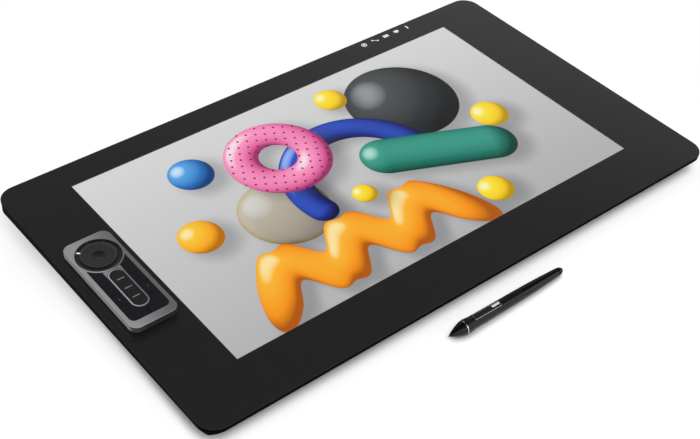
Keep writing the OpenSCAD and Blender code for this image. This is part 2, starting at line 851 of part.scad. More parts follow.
module remote_outline(inset) {
    rounded(remote_w - 2 * inset, remote_l - 2 * inset, remote_corner_r - inset);
}

module strip_outline(grow) {
    translate([0, strip_y]) stadium(strip_w + 2 * grow, strip_l + 2 * grow);
}

// Field of dark keys round the strip, under the ring; every edge stands in by the given clearance
module key_field(room) {
    difference() {
        translate([0, (field_low + ring_y) / 2])
            rounded(field_w - 2 * room, ring_y - field_low - 2 * room, field_corner_r - room);
        translate([0, ring_y]) circle(ring_hole_r + line_w + room);
        strip_outline(line_w + room);
        translate([-strip_line_w / 2 - room, strip_y]) square([strip_line_w + 2 * room, ring_y - strip_y]);
    }
}

module remote_base() {
    color([0.4, 0.4, 0.41]) on_remote() difference() {
        hull() {
            layer(pad_t, pad_t + seat, $fn = 32) remote_outline(base_inset);
            layer(pad_t + base_flare, frame_low, $fn = 32) remote_outline(0);
        }
        difference() {
            layer(base_floor, far) remote_outline(remote_wall);
            for (x = [-1, 1]) for (y = [-1, 1])
                translate([x * (remote_w / 2 - base_post_in), y * (remote_l / 2 - base_post_in), 0])
                    cylinder(r = base_post_r, h = pcb_low);
        }
        block([-usb_w / 2 - slip, -remote_l, pcb_high - slip],
            [usb_w / 2 + slip, -remote_l / 2 + usb_l, far]);
    }
}

module remote_frame() {
    color([0.45, 0.45, 0.46]) on_remote() difference() {
        bevelled_slab(frame_low, remote_h, remote_w, remote_l, remote_corner_r, frame_edge);
        layer(0, far) {
            translate([0, ring_y]) circle(ring_hole_r);
            key_field(0);
            strip_outline(0);
        }
    }
}

module lamp_bars(grow) {
    for (a = LAMP_ANGLES) rotate(a) translate([groove_mid_r, 0])
        square([lamp_bar_l + grow, lamp_bar_w + grow], center = true);
}

module touch_ring() {
    inner = button_r + key_room;
    foot_r = ring_r - lip_w;
    color([0.09, 0.09, 0.1]) on_remote() translate([0, ring_y, 0]) difference() {
        rotate_extrude() polygon([[inner, ring_low], [inner, remote_h - slip], [disc_r, remote_h - disc_sink],
            [disc_r + ring_wall, remote_h - groove_sink + slip], [groove_mid_r, remote_h - groove_sink],
            [foot_r, remote_h - lip_sink], [ring_r, remote_h - lip_sink], [ring_r, ring_low],
            [foot_r, ring_low], [foot_r, pcb_high], [foot_r - ring_wall, pcb_high],
            [foot_r - ring_wall, ring_low]]);
        layer(0, far) lamp_bars(slip);
    }
}

module ring_lamps() {
    color([0.95, 0.95, 0.97]) on_remote() translate([0, ring_y, 0])
        layer(pcb_high, remote_h - groove_sink) lamp_bars(0);
}

module remote_board() {
    color([0.05, 0.28, 0.16]) on_remote() layer(pcb_low, pcb_high) remote_outline(remote_wall + pcb_room);
}

module key_domes() {
    color([0.8, 0.8, 0.82]) on_remote() for (p = DOMES) translate([p[0], p[1], pcb_high])
        cylinder(r = dome_r, h = dome_t);
}

module remote_battery() {
    color([0.6, 0.62, 0.66]) on_remote() layer(base_floor, pcb_low - slip)
        translate([0, battery_y]) square([battery_w, battery_l], center = true);
}

module remote_port() {
    color([0.7, 0.7, 0.72]) on_remote() translate([0, -remote_l / 2, pcb_high]) difference() {
        block([-usb_w / 2, usb_in, 0], [usb_w / 2, usb_l - seat, usb_h]);
        block([usb_shell - usb_w / 2, 0, usb_shell], [usb_w / 2 - usb_shell, usb_l - 1, usb_h - usb_shell]);
    }
}

module remote_pads() {
    color([0.16, 0.16, 0.16]) on_remote() layer(0, pad_t)
        for (s = [-1, 1]) translate([0, s * (remote_l / 2 - pad_in)])
            stadium(remote_w - pad_in, pad_d);
}

module ring_button() {
    color([0.07, 0.07, 0.075]) on_remote() translate([0, ring_y, 0]) rotate_extrude()
        polygon([[0, key_low], [0, remote_h - dish_sink],
            [button_r - 2 * ring_wall, remote_h - dish_sink + disc_sink],
            [button_r - lip_w, remote_h - lip_sink], [button_r, remote_h - lip_sink], [button_r, key_low]]);
}

module strip_key(k) {
    color([0.07, 0.07, 0.075]) on_remote() {
        layer(key_low, key_high) intersection() {
            strip_outline(-key_room);
            translate([-strip_w / 2, STRIP_CUTS[k + 1] + key_gap / 2])
                square([strip_w, STRIP_CUTS[k] - STRIP_CUTS[k + 1] - key_gap]);
        }
        layer(key_high - rib_h, key_high + rib_h) translate([0, strip_y + (1 - k) * rib_pitch])
            square([rib_w, rib_d], center = true);
    }
}

module column_key(s, high, low) {
    color([0.06, 0.06, 0.07]) on_remote() layer(key_low, key_high) intersection() {
        key_field(key_room);
        translate([s > 0 ? key_gap / 2 : -field_w, low + key_gap / 2])
            square([field_w - key_gap / 2, high - low - key_gap]);
    }
}

// Pen, drawn along Z and then laid on the desk

module on_pen() {
    translate([pen_tip_x, desk_y(-glass_d / 2, 0) - pen_gap, pen_z])
        rotate([0, 90 + pen_pitch, pen_yaw]) rotate(pen_roll) children();
}

module pen_sleeve(from, to, bore, grow) {
    rotate_extrude() polygon(concat([[bore, from]],
        [for (k = [0:pen_steps]) let (a = mix(from, to, k / pen_steps)) [pen_r(a) + grow, a]], [[bore, to]]));
}

module pen_cone() {
    bore = nib_r + bore_room;
    color([0.08, 0.08, 0.085]) on_pen() rotate_extrude() polygon(concat([[bore, nib_out]],
        [for (k = [0:cone_steps]) let (a = mix(nib_out, nose_at, k / cone_steps)) [cone_r(a), a]],
        [[pen_bore_r, nose_at], [pen_bore_r, cone_room_at], [bore, cone_room_at - 2]]));
}

module pen_ring() {
    color([0.75, 0.75, 0.77]) on_pen() translate([0, 0, nose_at]) difference() {
        cylinder(r = pen_flare_r - ring_step, h = ring_at - nose_at);
        translate([0, 0, -1]) cylinder(r = pen_bore_r, h = through);
    }
}

module pen_grip() {
    color([0.1, 0.1, 0.105]) on_pen() difference() {
        pen_sleeve(ring_at, barrel_at, pen_bore_r, 0);
        block([-far, -rocker_w / 2 - slip, rocker_from - slip],
            [-rocker_floor, rocker_w / 2 + slip, rocker_to + slip]);
        translate([-rocker_pin_x, 0, rocker_at]) rotate([90, 0, 0])
            cylinder(r = rocker_pin_r + seat, h = rocker_pin_l + 2 * seat, center = true);
    }
}

module pen_barrel() {
    color([0.12, 0.12, 0.125]) on_pen() difference() {
        pen_sleeve(barrel_at, tail_at, 0, 0);
        translate([0, 0, -tail_wall]) cylinder(r = pen_bore_r, h = tail_at);
        translate([0, 0, barrel_at]) cylinder(r = stem_r + bore_room, h = far);
    }
}

module pen_core() {
    color([0.35, 0.25, 0.15]) on_pen()
        translate([0, 0, core_at]) cylinder(r = core_r, h = core_end_at - core_at);
}

module rocker_pin() {
    color([0.75, 0.75, 0.77]) on_pen() translate([-rocker_pin_x, 0, rocker_at]) rotate([90, 0, 0])
        cylinder(r = rocker_pin_r, h = rocker_pin_l, center = true);
}

module pen_nib() {
    color([0.15, 0.15, 0.15]) on_pen() {
        translate([0, 0, nib_r]) sphere(nib_r);
        translate([0, 0, nib_r]) cylinder(r = nib_r, h = nib_l - nib_r);
    }
}

module pen_rocker() {
    color([0.2, 0.2, 0.21]) on_pen() difference() {
        intersection() {
            pen_sleeve(rocker_from - 1, rocker_to + 1, 0, rocker_proud);
            block([-far, -rocker_w / 2, rocker_from], [-rocker_low, rocker_w / 2, rocker_to]);
        }
        translate([-rocker_pin_x, 0, rocker_at]) rotate([90, 0, 0])
            cylinder(r = rocker_pin_r + bore_room, h = far, center = true);
    }
}

module pen_eraser() {
    head = tail_at + eraser_travel + slip;
    steps = 8;
    color([0.1, 0.1, 0.1]) on_pen() {
        translate([0, 0, head + 1 - stem_l]) cylinder(r = stem_r, h = stem_l);
        rotate_extrude() polygon(concat([[0, head]], [for (k = [0:steps - 1]) let (a = 90 * k / steps)
            [(pen_tail_r - eraser_step) * cos(a), mix(head, pen_l, sin(a))]], [[0, pen_l]]));
    }
}

cover_glass();
border_print();
lcd_panel();
backlight();
pen_sensor();
chassis_tray();
chassis_frame();
rear_cover();
bezel_magnets();
key_lamps();
io_board();
rear_ports();
edge_switches();
main_board();
board_chips();
heat_sink();
fan_housings();
rubber_feet();
cover_screws();
stand_inserts();
hinge_pins();
leg(-1);  // left_leg
leg_pad(-1);  // left_leg_pad
leg(1);  // right_leg
leg_pad(1);  // right_leg_pad
power_button();
touch_switch();
fan_rotor(-1);  // left_fan_rotor
fan_rotor(1);  // right_fan_rotor
remote_base();
remote_frame();
touch_ring();
ring_lamps();
remote_board();
key_domes();
remote_battery();
remote_port();
remote_pads();
ring_button();
strip_key(0);  // strip_key_1
strip_key(1);  // strip_key_2
strip_key(2);  // strip_key_3
column_key(-1, ROWS[0], ROWS[1]);  // left_key_1
column_key(-1, ROWS[1], ROWS[2]);  // left_key_2
column_key(-1, ROWS[2], ROWS[3]);  // left_key_3
column_key(-1, ROWS[3], field_low - 1);  // left_corner_key
column_key(1, ROWS[0], ROWS[1]);  // right_key_1
column_key(1, ROWS[1], ROWS[2]);  // right_key_2
column_key(1, ROWS[2], ROWS[3]);  // right_key_3
column_key(1, ROWS[3], field_low - 1);  // right_corner_key
pen_cone();
pen_ring();
pen_grip();
pen_barrel();
pen_core();
rocker_pin();
pen_nib();
pen_rocker();
pen_eraser();
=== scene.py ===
# Pen display with its key remote and pen: view, light, finishes and the small pieces laid on the solids.
import json
import math

import bmesh
import bpy
import numpy as np
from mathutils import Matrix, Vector


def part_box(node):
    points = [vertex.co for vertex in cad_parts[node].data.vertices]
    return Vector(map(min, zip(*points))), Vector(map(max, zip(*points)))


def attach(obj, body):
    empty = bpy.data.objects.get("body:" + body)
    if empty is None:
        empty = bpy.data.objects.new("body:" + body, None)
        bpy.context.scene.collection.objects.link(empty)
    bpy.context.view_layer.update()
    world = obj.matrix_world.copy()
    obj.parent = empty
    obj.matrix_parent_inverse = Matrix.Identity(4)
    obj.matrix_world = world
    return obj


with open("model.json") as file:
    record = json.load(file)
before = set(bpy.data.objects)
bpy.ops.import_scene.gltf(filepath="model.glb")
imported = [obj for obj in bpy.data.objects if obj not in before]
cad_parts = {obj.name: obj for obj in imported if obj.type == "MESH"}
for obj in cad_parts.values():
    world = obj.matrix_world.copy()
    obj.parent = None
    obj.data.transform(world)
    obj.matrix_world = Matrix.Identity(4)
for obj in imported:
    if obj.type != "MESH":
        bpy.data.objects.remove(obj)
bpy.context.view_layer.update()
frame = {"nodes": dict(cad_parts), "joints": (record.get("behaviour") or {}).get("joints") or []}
nodes = frame["nodes"]
joints = {joint["name"]: joint for joint in frame["joints"]}
scene = bpy.context.scene
scene.view_settings.view_transform = "Standard"
mm = 0.001
print("frame loaded:", len(nodes), "nodes")


# places: the glass's own plane, the remote on it and the pen on the desk

def unit(vector):
    return np.array(vector, float) / np.linalg.norm(vector)


def middle(name):
    return np.mean([np.array(corner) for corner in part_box(name)], axis=0)


glass = {"thick": 2.0, "width": 664.0, "depth": 386.0, "corner": 20.0, "edge": 0.4, "print": 0.1,
         "pictureWidth": 522.0, "pictureDepth": 294.0, "pictureY": 11.5}
across = np.array((1.0, 0, 0))
glassUp = unit(joints["remote_lift"]["axis"])
glassRear = np.cross(glassUp, across)
glassMid = middle("border_print") + glassUp * (glass["thick"] + glass["print"] / 2) * mm


def placed(origin, x, y, z, xAxis, yAxis, zAxis):
    # millimetres along three directions from a point
    x, y, z = (value[..., None] for value in np.broadcast_arrays(x, y, z))
    return origin + mm * (x * xAxis + y * yAxis + z * zAxis)


def onGlass(x, y, z):
    # from the middle of the glass's top: to the right, to the rear, off the glass
    return placed(glassMid, x, y, z, across, glassRear, glassUp)


remote = {"seat": 0.02, "high": 10.0, "ringY": 37.45, "ringHole": 23.05, "discEdge": 16.9,
          "stripY": -16.6, "stripWidth": 15.0, "stripLength": 54.0, "keyTop": 10.2}
remoteGap = middle("remote_frame") - glassMid
remoteMid = onGlass(remoteGap[0] / mm, remoteGap @ glassRear / mm, remote["seat"])


def onRemote(x, y, z):
    return placed(remoteMid, x, y, z, across, glassRear, glassUp)


pen = {"rockerAt": 49.4, "pinDeep": 1.45, "flare": 7.5, "flareAt": 21.5, "waist": 6.7, "waistAt": 33.0,
       "fall": 0.0103, "shoulderAt": 106.0, "tailAt": 149.0, "tail": 4.3, "taperPower": 1.3}


def penRadius(along):
    # level flare eased to the waist, then a straight fall less a power taper towards the tail
    drop = pen["waist"] - pen["fall"] * (pen["tailAt"] - pen["waistAt"]) - pen["tail"]
    late = np.clip(along - pen["shoulderAt"], 0, None) / (pen["tailAt"] - pen["shoulderAt"])
    barrel = pen["waist"] - pen["fall"] * np.clip(along - pen["waistAt"], 0, None)
    barrel = barrel - drop * late ** pen["taperPower"]
    share = np.clip((along - pen["flareAt"]) / (pen["waistAt"] - pen["flareAt"]), 0, 1)
    return pen["flare"] + (barrel - pen["flare"]) * (1 - np.cos(np.pi * share)) / 2


penAxis = unit(joints["nib_press"]["axis"])
penSide = unit(joints["rocker_tilt"]["axis"])
penUp = np.cross(penAxis, penSide)
penTip = np.array(joints["rocker_tilt"]["pos_m"]) - mm * (
    pen["rockerAt"] * penAxis + (penRadius(pen["rockerAt"]) - pen["pinDeep"]) * penUp)


def onPen(along, side, height):
    # from the tip: along the axis, to the side of the rocker, and out towards it
    return placed(penTip, along, side, height, penAxis, penSide, penUp)


print("pen tip", np.round(penTip / mm, 2), "remote", np.round(remoteMid / mm, 2))


# camera, set from the middle of the lit picture

camera = {"from": (-695.93, -808.5, 794.25), "to": (-91.09, -38.27, 0.0), "lens": 64.095,
          "shift": (0.0549, -0.0028), "sensor": 36, "near": 0.05, "far": 60}
pictureMid = onGlass(0, glass["pictureY"], 0)
cameraLook = Vector(np.subtract(camera["to"], camera["from"]))
cameraData = bpy.data.cameras.new("camera")
cameraObject = bpy.data.objects.new("camera", cameraData)
scene.collection.objects.link(cameraObject)
cameraObject.location = pictureMid + mm * np.array(camera["from"])
cameraObject.rotation_mode = "QUATERNION"
cameraObject.rotation_quaternion = cameraLook.to_track_quat("-Z", "Y")
cameraData.sensor_width = camera["sensor"]
cameraData.lens = camera["lens"]
cameraData.shift_x, cameraData.shift_y = camera["shift"]
cameraData.clip_start, cameraData.clip_end = camera["near"], camera["far"]
scene.camera = cameraObject
print("camera set")


# node helpers

def put(tree, kind, inputs=None, out=0, **settings):
    node = tree.nodes.new(kind)
    for key, value in settings.items():
        setattr(node, key, value)
    for key, value in (inputs or {}).items():
        if isinstance(value, bpy.types.NodeSocket):
            tree.links.new(value, node.inputs[key])
        else:
            node.inputs[key].default_value = value
    return node.outputs[out]


def sums(tree, operation, *values):
    return put(tree, "ShaderNodeMath", dict(enumerate(values)), operation=operation)


def minus(tree, first, second):
    return sums(tree, "SUBTRACT", first, second)


def times(tree, first, second):
    return sums(tree, "MULTIPLY", first, second)


def largest(tree, first, second):
    return sums(tree, "MAXIMUM", first, second)


def farFrom(tree, value, place):
    return sums(tree, "ABSOLUTE", minus(tree, value, place))


def vectors(tree, operation, *values, out=0):
    values = [value if isinstance(value, bpy.types.NodeSocket) else tuple(value) for value in values]
    return put(tree, "ShaderNodeVectorMath", dict(enumerate(values)), out=out, operation=operation)


def along(tree, vector, axis):
    # how far a vector goes along an axis
    return vectors(tree, "DOT_PRODUCT", vector, axis, out=1)


def lengthOf(tree, vector):
    return vectors(tree, "LENGTH", vector, out=1)


def scaled(tree, vector, factor):
    return put(tree, "ShaderNodeVectorMath", {0: vector, 3: factor}, operation="SCALE")


def fixed(tree, vector):
    return put(tree, "ShaderNodeCombineXYZ", dict(enumerate(vector)))


def flat(tree, x, y):
    return put(tree, "ShaderNodeCombineXYZ", {0: x, 1: y})


def span(tree, value, low, high, toLow=0.0, toHigh=1.0, smooth=True):
    return put(tree, "ShaderNodeMapRange", {0: value, 1: low, 2: high, 3: toLow, 4: toHigh},
               interpolation_type="SMOOTHSTEP" if smooth else "LINEAR")


def blendColour(tree, factor, first, second):
    node = tree.nodes.new("ShaderNodeMix")
    node.data_type = "RGBA"
    for key, value in ((0, factor), (6, first), (7, second)):
        if isinstance(value, bpy.types.NodeSocket):
            tree.links.new(value, node.inputs[key])
        else:
            node.inputs[key].default_value = value if key == 0 else (*value[:3], 1)
    return node.outputs[2]


def ramp(tree, value, *stops):
    node = tree.nodes.new("ShaderNodeValToRGB")
    tree.links.new(value, node.inputs[0])
    while len(node.color_ramp.elements) < len(stops):
        node.color_ramp.elements.new(0.5)
    for element, (at, colour) in zip(node.color_ramp.elements, stops):
        element.position, element.color = at, (*colour, 1)
    return node.outputs[0]


def measured(tree, origin, *axes):
    # millimetres from a point, along the given directions
    gap = vectors(tree, "SUBTRACT", put(tree, "ShaderNodeTexCoord", out=3), origin)
    return [along(tree, gap, np.array(axis) / mm) for axis in axes]


def newMaterial(name):
    material = bpy.data.materials.new(name)
    material.use_nodes = True
    return material, material.node_tree, material.node_tree.nodes["Principled BSDF"]


def noise(tree, size, detail=2.0, stretch=(1, 1, 1)):
    # size is the feature in millimetres; stretch squeezes it along an axis
    where = put(tree, "ShaderNodeMapping", {"Vector": put(tree, "ShaderNodeTexCoord", out=3),
                                            "Scale": tuple(s / (size * mm) for s in stretch)})
    return put(tree, "ShaderNodeTexNoise", {"Vector": where, "Scale": 1.0, "Detail": detail})


def bump(tree, height, strength, distance, under=None):
    inputs = {"Strength": strength, "Distance": distance * mm, "Height": height}
    if under is not None:
        inputs["Normal"] = under
    return put(tree, "ShaderNodeBump", inputs)


surface = {"cloudDetail": 3.0, "grainSpan": (0.3, 0.7), "reliefShare": 0.3,
           "rubScale": 0.23, "rubDetail": 6.0, "rubSpan": (0.62, 0.8), "rubGain": 1.8, "rubLift": 0.02}


def finish(name, colour, rough, metal=0.0, spread=0.15, roughSpread=0.08, cloud=18.0, grain=0.5, relief=0.1,
           stretch=(1, 1, 1), specular=0.5, worn=0.0, paint=None, shape=None):
    # a finish: soft clouds in the colour, a fine grain in gloss and relief, a few lighter rubs;
    # paint lays a second colour over it, and shape adds its own relief under the grain
    material, tree, shader = newMaterial(name)
    clouds = noise(tree, cloud, surface["cloudDetail"], stretch)
    fine = noise(tree, grain, stretch=stretch)
    tone = blendColour(tree, clouds, [c * (1 - spread) for c in colour],
                       [min(1, c * (1 + spread)) for c in colour])
    if worn:
        rubs = noise(tree, cloud * surface["rubScale"], surface["rubDetail"], stretch)
        rubs = span(tree, rubs, *surface["rubSpan"], 0.0, worn, smooth=False)
        rubbed = [min(1, c * surface["rubGain"] + surface["rubLift"]) for c in colour]
        tone = blendColour(tree, rubs, tone, rubbed)
    if paint:
        tone = paint(tree, tone)
    tree.links.new(tone, shader.inputs["Base Color"])
    half = roughSpread / 2
    gloss = span(tree, fine, *surface["grainSpan"], rough - half, rough + half, smooth=False)
    gloss = sums(tree, "MULTIPLY_ADD", minus(tree, clouds, 0.5), roughSpread, gloss)
    tree.links.new(gloss, shader.inputs["Roughness"])
    normal = shape(tree) if shape else None
    if relief:
        normal = bump(tree, fine, relief, grain * surface["reliefShare"], normal)
    if normal is not None:
        tree.links.new(normal, shader.inputs["Normal"])
    shader.inputs["Metallic"].default_value = metal
    shader.inputs["Specular IOR Level"].default_value = specular
    return material


def dress(material, *names):
    for name in names:
        nodes[name].data.materials.clear()
        nodes[name].data.materials.append(material)


rounding = {"segments": 2, "sharpFrom": 32, "weld": 2e-6, "flatWithin": 0.5, "normalWeight": 100}


def soften(width, *names, flatten=False):
    # rounds the sharp edges of a solid without touching its mesh; flatten first joins the triangles
    # of each flat face, and keeps the shading of the large faces even
    for name in names:
        weld = nodes[name].modifiers.new("weld", "WELD")
        weld.merge_threshold = rounding["weld"]
        if flatten:
            merge = nodes[name].modifiers.new("flatten", "DECIMATE")
            merge.decimate_type, merge.angle_limit = "DISSOLVE", math.radians(rounding["flatWithin"])
        bevel = nodes[name].modifiers.new("bevel", "BEVEL")
        bevel.width, bevel.segments = width * mm, rounding["segments"]
        bevel.limit_method, bevel.angle_limit = "ANGLE", math.radians(rounding["sharpFrom"])
        bevel.harden_normals = not flatten
        if flatten:
            normals = nodes[name].modifiers.new("normals", "WEIGHTED_NORMAL")
            normals.weight = rounding["normalWeight"]


# mesh helpers

def carried(sections, closedPath=True):
    # sections is stations by points of a closed profile; quads join neighbours,
    # and an open path gets end faces
    count, around = sections.shape[:2]
    i = np.arange(count if closedPath else count - 1)[:, None]
    j = np.arange(around)[None, :]
    iNext, jNext = (i + 1) % count, (j + 1) % around
    quads = np.stack([i * around + j, i * around + jNext, iNext * around + jNext, iNext * around + j], -1)
    faces = quads.reshape(-1, 4).tolist()
    if not closedPath:
        faces += [list(range(around)), list(range((count - 1) * around, count * around))]
    return sections.reshape(-1, 3), faces


def joined(*parts):
    # several point and face lists as one
    points, faces, start = [], [], 0
    for somePoints, someFaces in parts:
        points.append(somePoints)
        faces += [[index + start for index in face] for face in someFaces]
        start += len(somePoints)
    return np.concatenate(points), faces


def makePiece(name, shape, material, body, smooth=True, closed=True):
    mesh = bpy.data.meshes.new(name)
    mesh.from_pydata(shape[0].tolist(), [], shape[1])
    if closed:
        work = bmesh.new()
        work.from_mesh(mesh)
        bmesh.ops.recalc_face_normals(work, faces=work.faces)
        work.to_mesh(mesh)
        work.free()
    mesh.polygons.foreach_set("use_smooth", np.full(len(mesh.polygons), smooth))
    mesh.materials.append(material)
    piece = bpy.data.objects.new(name, mesh)
    scene.collection.objects.link(piece)
    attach(piece, body)
    return piece


def turned(line, angle):
    c, s = np.cos(angle), np.sin(angle)
    return line @ np.array([[c, s], [-s, c]])


def roundedPath(width, depth, corner, perCorner=14, perSide=10):
    # a rectangle with quarter-circle corners, walked anticlockwise with the same count on each stretch
    turn = np.linspace(0, np.pi / 2, perCorner)
    arc = corner * np.stack([np.cos(turn), np.sin(turn)], 1)
    quarter = [turned(arc, k * np.pi / 2) + (sx * (width / 2 - corner), sy * (depth / 2 - corner))
               for k, (sx, sy) in enumerate(((1, 1), (-1, 1), (-1, -1), (1, -1)))]
    share = np.linspace(0, 1, perSide + 2)[1:-1, None]
    sides = [quarter[k][-1] + share * (quarter[(k + 1) % 4][0] - quarter[k][-1]) for k in range(4)]
    return np.concatenate([np.concatenate([quarter[k], sides[k]]) for k in range(4)])


# floor, backdrop and lamp

stage = {"floorRadius": 14.0, "floorSides": 64, "floorSink": 0.0002, "floorTone": 0.6, "floorShade": 0.99,
         "floorCloud": 400, "floorRough": 0.9, "floorSpecular": 0.1,
         "floorLift": 0.5, "liftSpan": (0.45, 0.75), "contact": 20.0, "contactSamples": 8, "ambient": 0.55,
         "keyPower": 41.0, "keyFrom": (-0.7, -1.5, 2.2), "keyTo": (0, 0, 0), "keySize": 1.2,
         "turnSpan": (-0.1, 0.1), "rearGap": (0.08, 0.3), "frontGap": (-0.55, -0.15), "gapLevel": 0.2,
         "horizon": (0.25, 0.5), "frontLevel": 2.5,
         "frontShares": ((0.0, 0.4), (0.15, 0.4), (0.3, 0.9), (0.4, 1.0), (0.5, 0.9), (0.62, 0.3),
                         (0.85, 0.15)),
         "rearLevels": ((0.0, 1.0), (0.3, 0.9), (0.57, 0.6), (0.65, 0.15), (0.8, 0.13), (1.0, 0.1))}


def makeFloor():
    turn = np.linspace(0, 2 * np.pi, stage["floorSides"] + 1)[:-1]
    rim = stage["floorRadius"] * np.stack([np.cos(turn), np.sin(turn), 0 * turn], 1)
    rim[:, 2] = -stage["floorSink"]
    mesh = bpy.data.meshes.new("floor")
    mesh.from_pydata(rim.tolist(), [], [list(range(stage["floorSides"]))])
    floor = bpy.data.objects.new("floor", mesh)
    scene.collection.objects.link(floor)
    material, tree, shader = newMaterial("pale floor")
    tone = [stage["floorTone"]] * 3
    shaded = [c * stage["floorShade"] for c in tone]
    tone = blendColour(tree, noise(tree, stage["floorCloud"]), shaded, tone)
    tree.links.new(tone, shader.inputs["Base Color"])
    shader.inputs["Roughness"].default_value = stage["floorRough"]
    shader.inputs["Specular IOR Level"].default_value = stage["floorSpecular"]
    path = tree.nodes.new("ShaderNodeLightPath")
    seen = largest(tree, path.outputs["Is Camera Ray"],
                   largest(tree, path.outputs["Is Glossy Ray"], path.outputs["Is Transmission Ray"]))
    # the lift fades out where something stands close over the floor, so a contact stays dark
    close = put(tree, "ShaderNodeAmbientOcclusion", {"Distance": stage["contact"] * mm}, out=1,
                samples=stage["contactSamples"])
    lift = span(tree, close, *stage["liftSpan"], 0.0, stage["floorLift"], smooth=False)
    shader.inputs["Emission Color"].default_value = (1, 1, 1, 1)
    tree.links.new(times(tree, seen, lift), shader.inputs["Emission Strength"])
    mesh.materials.append(material)


def makeWorld():
    world = bpy.data.worlds.new("studio")
    scene.world = world
    world.use_nodes = True
    tree = world.node_tree
    back = tree.nodes["Background"]
    path = tree.nodes.new("ShaderNodeLightPath")
    way = put(tree, "ShaderNodeTexCoord", out=0)
    toRear, height = (along(tree, way, axis) for axis in ((0, 1, 0), (0, 0, 1)))
    # what gloss mirrors: a softbox in front, a fading wall behind, a dark ceiling between,
    # and white all round the horizon
    rear, front = (ramp(tree, height, *((at, (level,) * 3) for at, level in stage[key]))
                   for key in ("rearLevels", "frontShares"))
    behind = span(tree, toRear, *stage["turnSpan"])
    sides = blendColour(tree, behind, scaled(tree, front, stage["frontLevel"]), rear)
    gap = largest(tree, span(tree, toRear, *stage["rearGap"], stage["gapLevel"], 1.0),
                  span(tree, toRear, *stage["frontGap"], 1.0, stage["gapLevel"]))
    gap = largest(tree, gap, span(tree, height, *stage["horizon"], 1.0, 0.0))
    ceiling = times(tree, sides, gap)
    mirrored = largest(tree, path.outputs["Is Glossy Ray"], path.outputs["Is Transmission Ray"])
    level = sums(tree, "MULTIPLY_ADD", mirrored, minus(tree, ceiling, stage["ambient"]), stage["ambient"])
    level = sums(tree, "MULTIPLY_ADD", path.outputs["Is Camera Ray"], minus(tree, 1.0, level), level)
    tree.links.new(level, back.inputs["Strength"])
    back.inputs["Color"].default_value = (1, 1, 1, 1)


def makeLamp():
    lampData = bpy.data.lights.new("softbox", "AREA")
    lampData.energy, lampData.size = stage["keyPower"], stage["keySize"]
    lamp = bpy.data.objects.new("softbox", lampData)
    scene.collection.objects.link(lamp)
    lamp.location = stage["keyFrom"]
    lamp.rotation_mode = "QUATERNION"
    lamp.rotation_quaternion = (Vector(stage["keyTo"]) - Vector(stage["keyFrom"])).to_track_quat("-Z", "Y")
    lamp.visible_glossy = False


makeFloor()
makeWorld()
makeLamp()
print("stage set")


# finishes of the tablet

# the bevel colour is partly the matt edge's own grey and partly a painted highlight
glassLook = {"clearSpan": (0.1, 0.3), "edgeBlur": 0.04, "cloud": 30.0, "cloudDetail": 3.0,
             "blackLow": (0.0098, 0.0098, 0.0101), "blackHigh": (0.012, 0.012, 0.0124),
             "clear": (0.97, 0.975, 0.975), "edge": (0.001, 0.001, 0.001), "bevel": (0.06, 0.06, 0.061),
             "bend": 1.5, "etch": 0.3, "etchSpan": (0.3, 0.7), "etchSpread": 0.02,
             "borderRough": 0.2, "clearRough": 0.13, "edgeDull": 0.7}
tracks = {"bend": 9.0, "bendBy": 2.6, "pitches": (3.1, 3.7), "lineSpan": (0.06, 0.11), "lineShare": 0.5,
          "line": (0.05, 0.26, 0.1), "pad": (0.7, 0.66, 0.5)}
below = {"span": (-18, -11), "share": 0.6, "tone": (0.02, 0.02, 0.0205)}


def makeGlass():
    # clear over the lit rectangle, black from its own print in the border,
    # with a frosted bevel painted pale grey, partly its own matt edge and partly a painted highlight, and a
    # blackened edge
    material, tree, shader = newMaterial("etched glass")
    x, y = measured(tree, onGlass(0, glass["pictureY"], 0), across, glassRear)
    outside = largest(tree, *(minus(tree, sums(tree, "ABSOLUTE", place), glass[size] / 2)
                              for place, size in ((x, "pictureWidth"), (y, "pictureDepth"))))
    clear = span(tree, outside, *glassLook["clearSpan"], 1.0, 0.0)
    cloud = noise(tree, glassLook["cloud"], glassLook["cloudDetail"])
    black = blendColour(tree, cloud, glassLook["blackLow"], glassLook["blackHigh"])
    tone = blendColour(tree, clear, black, glassLook["clear"])
    x, y, z = measured(tree, glassMid, across, glassRear, glassUp)
    beyond = [minus(tree, sums(tree, "ABSOLUTE", place), glass[size] / 2 - glass["corner"])
              for place, size in ((x, "width"), (y, "depth"))]
    beyond = [largest(tree, place, 0.0) for place in beyond]
    rim = minus(tree, lengthOf(tree, flat(tree, *beyond)), glass["corner"] - glass["edge"])
    side = span(tree, rim, 0.0, glassLook["edgeBlur"])
    bevel = span(tree, z, -glass["edge"] - glassLook["edgeBlur"], -glass["edge"])
    # painted highlight: the bevel is paler grey, standing in for the light line the edge catches
    groundAndGlint = blendColour(tree, bevel, glassLook["edge"], glassLook["bevel"])
    tree.links.new(blendColour(tree, side, tone, groundAndGlint), shader.inputs["Base Color"])
    tree.links.new(side, shader.inputs["Metallic"])
    tree.links.new(clear, shader.inputs["Transmission Weight"])
    shader.inputs["IOR"].default_value = glassLook["bend"]
    # etched less where the picture has to stay sharp, and dull along the edge
    etch = span(tree, noise(tree, glassLook["etch"]), *glassLook["etchSpan"],
                -glassLook["etchSpread"], glassLook["etchSpread"])
    rough = span(tree, clear, 0.0, 1.0, glassLook["borderRough"], glassLook["clearRough"])
    rough = sums(tree, "MULTIPLY_ADD", side, glassLook["edgeDull"], sums(tree, "ADD", etch, rough))
    tree.links.new(rough, shader.inputs["Roughness"])
    return material


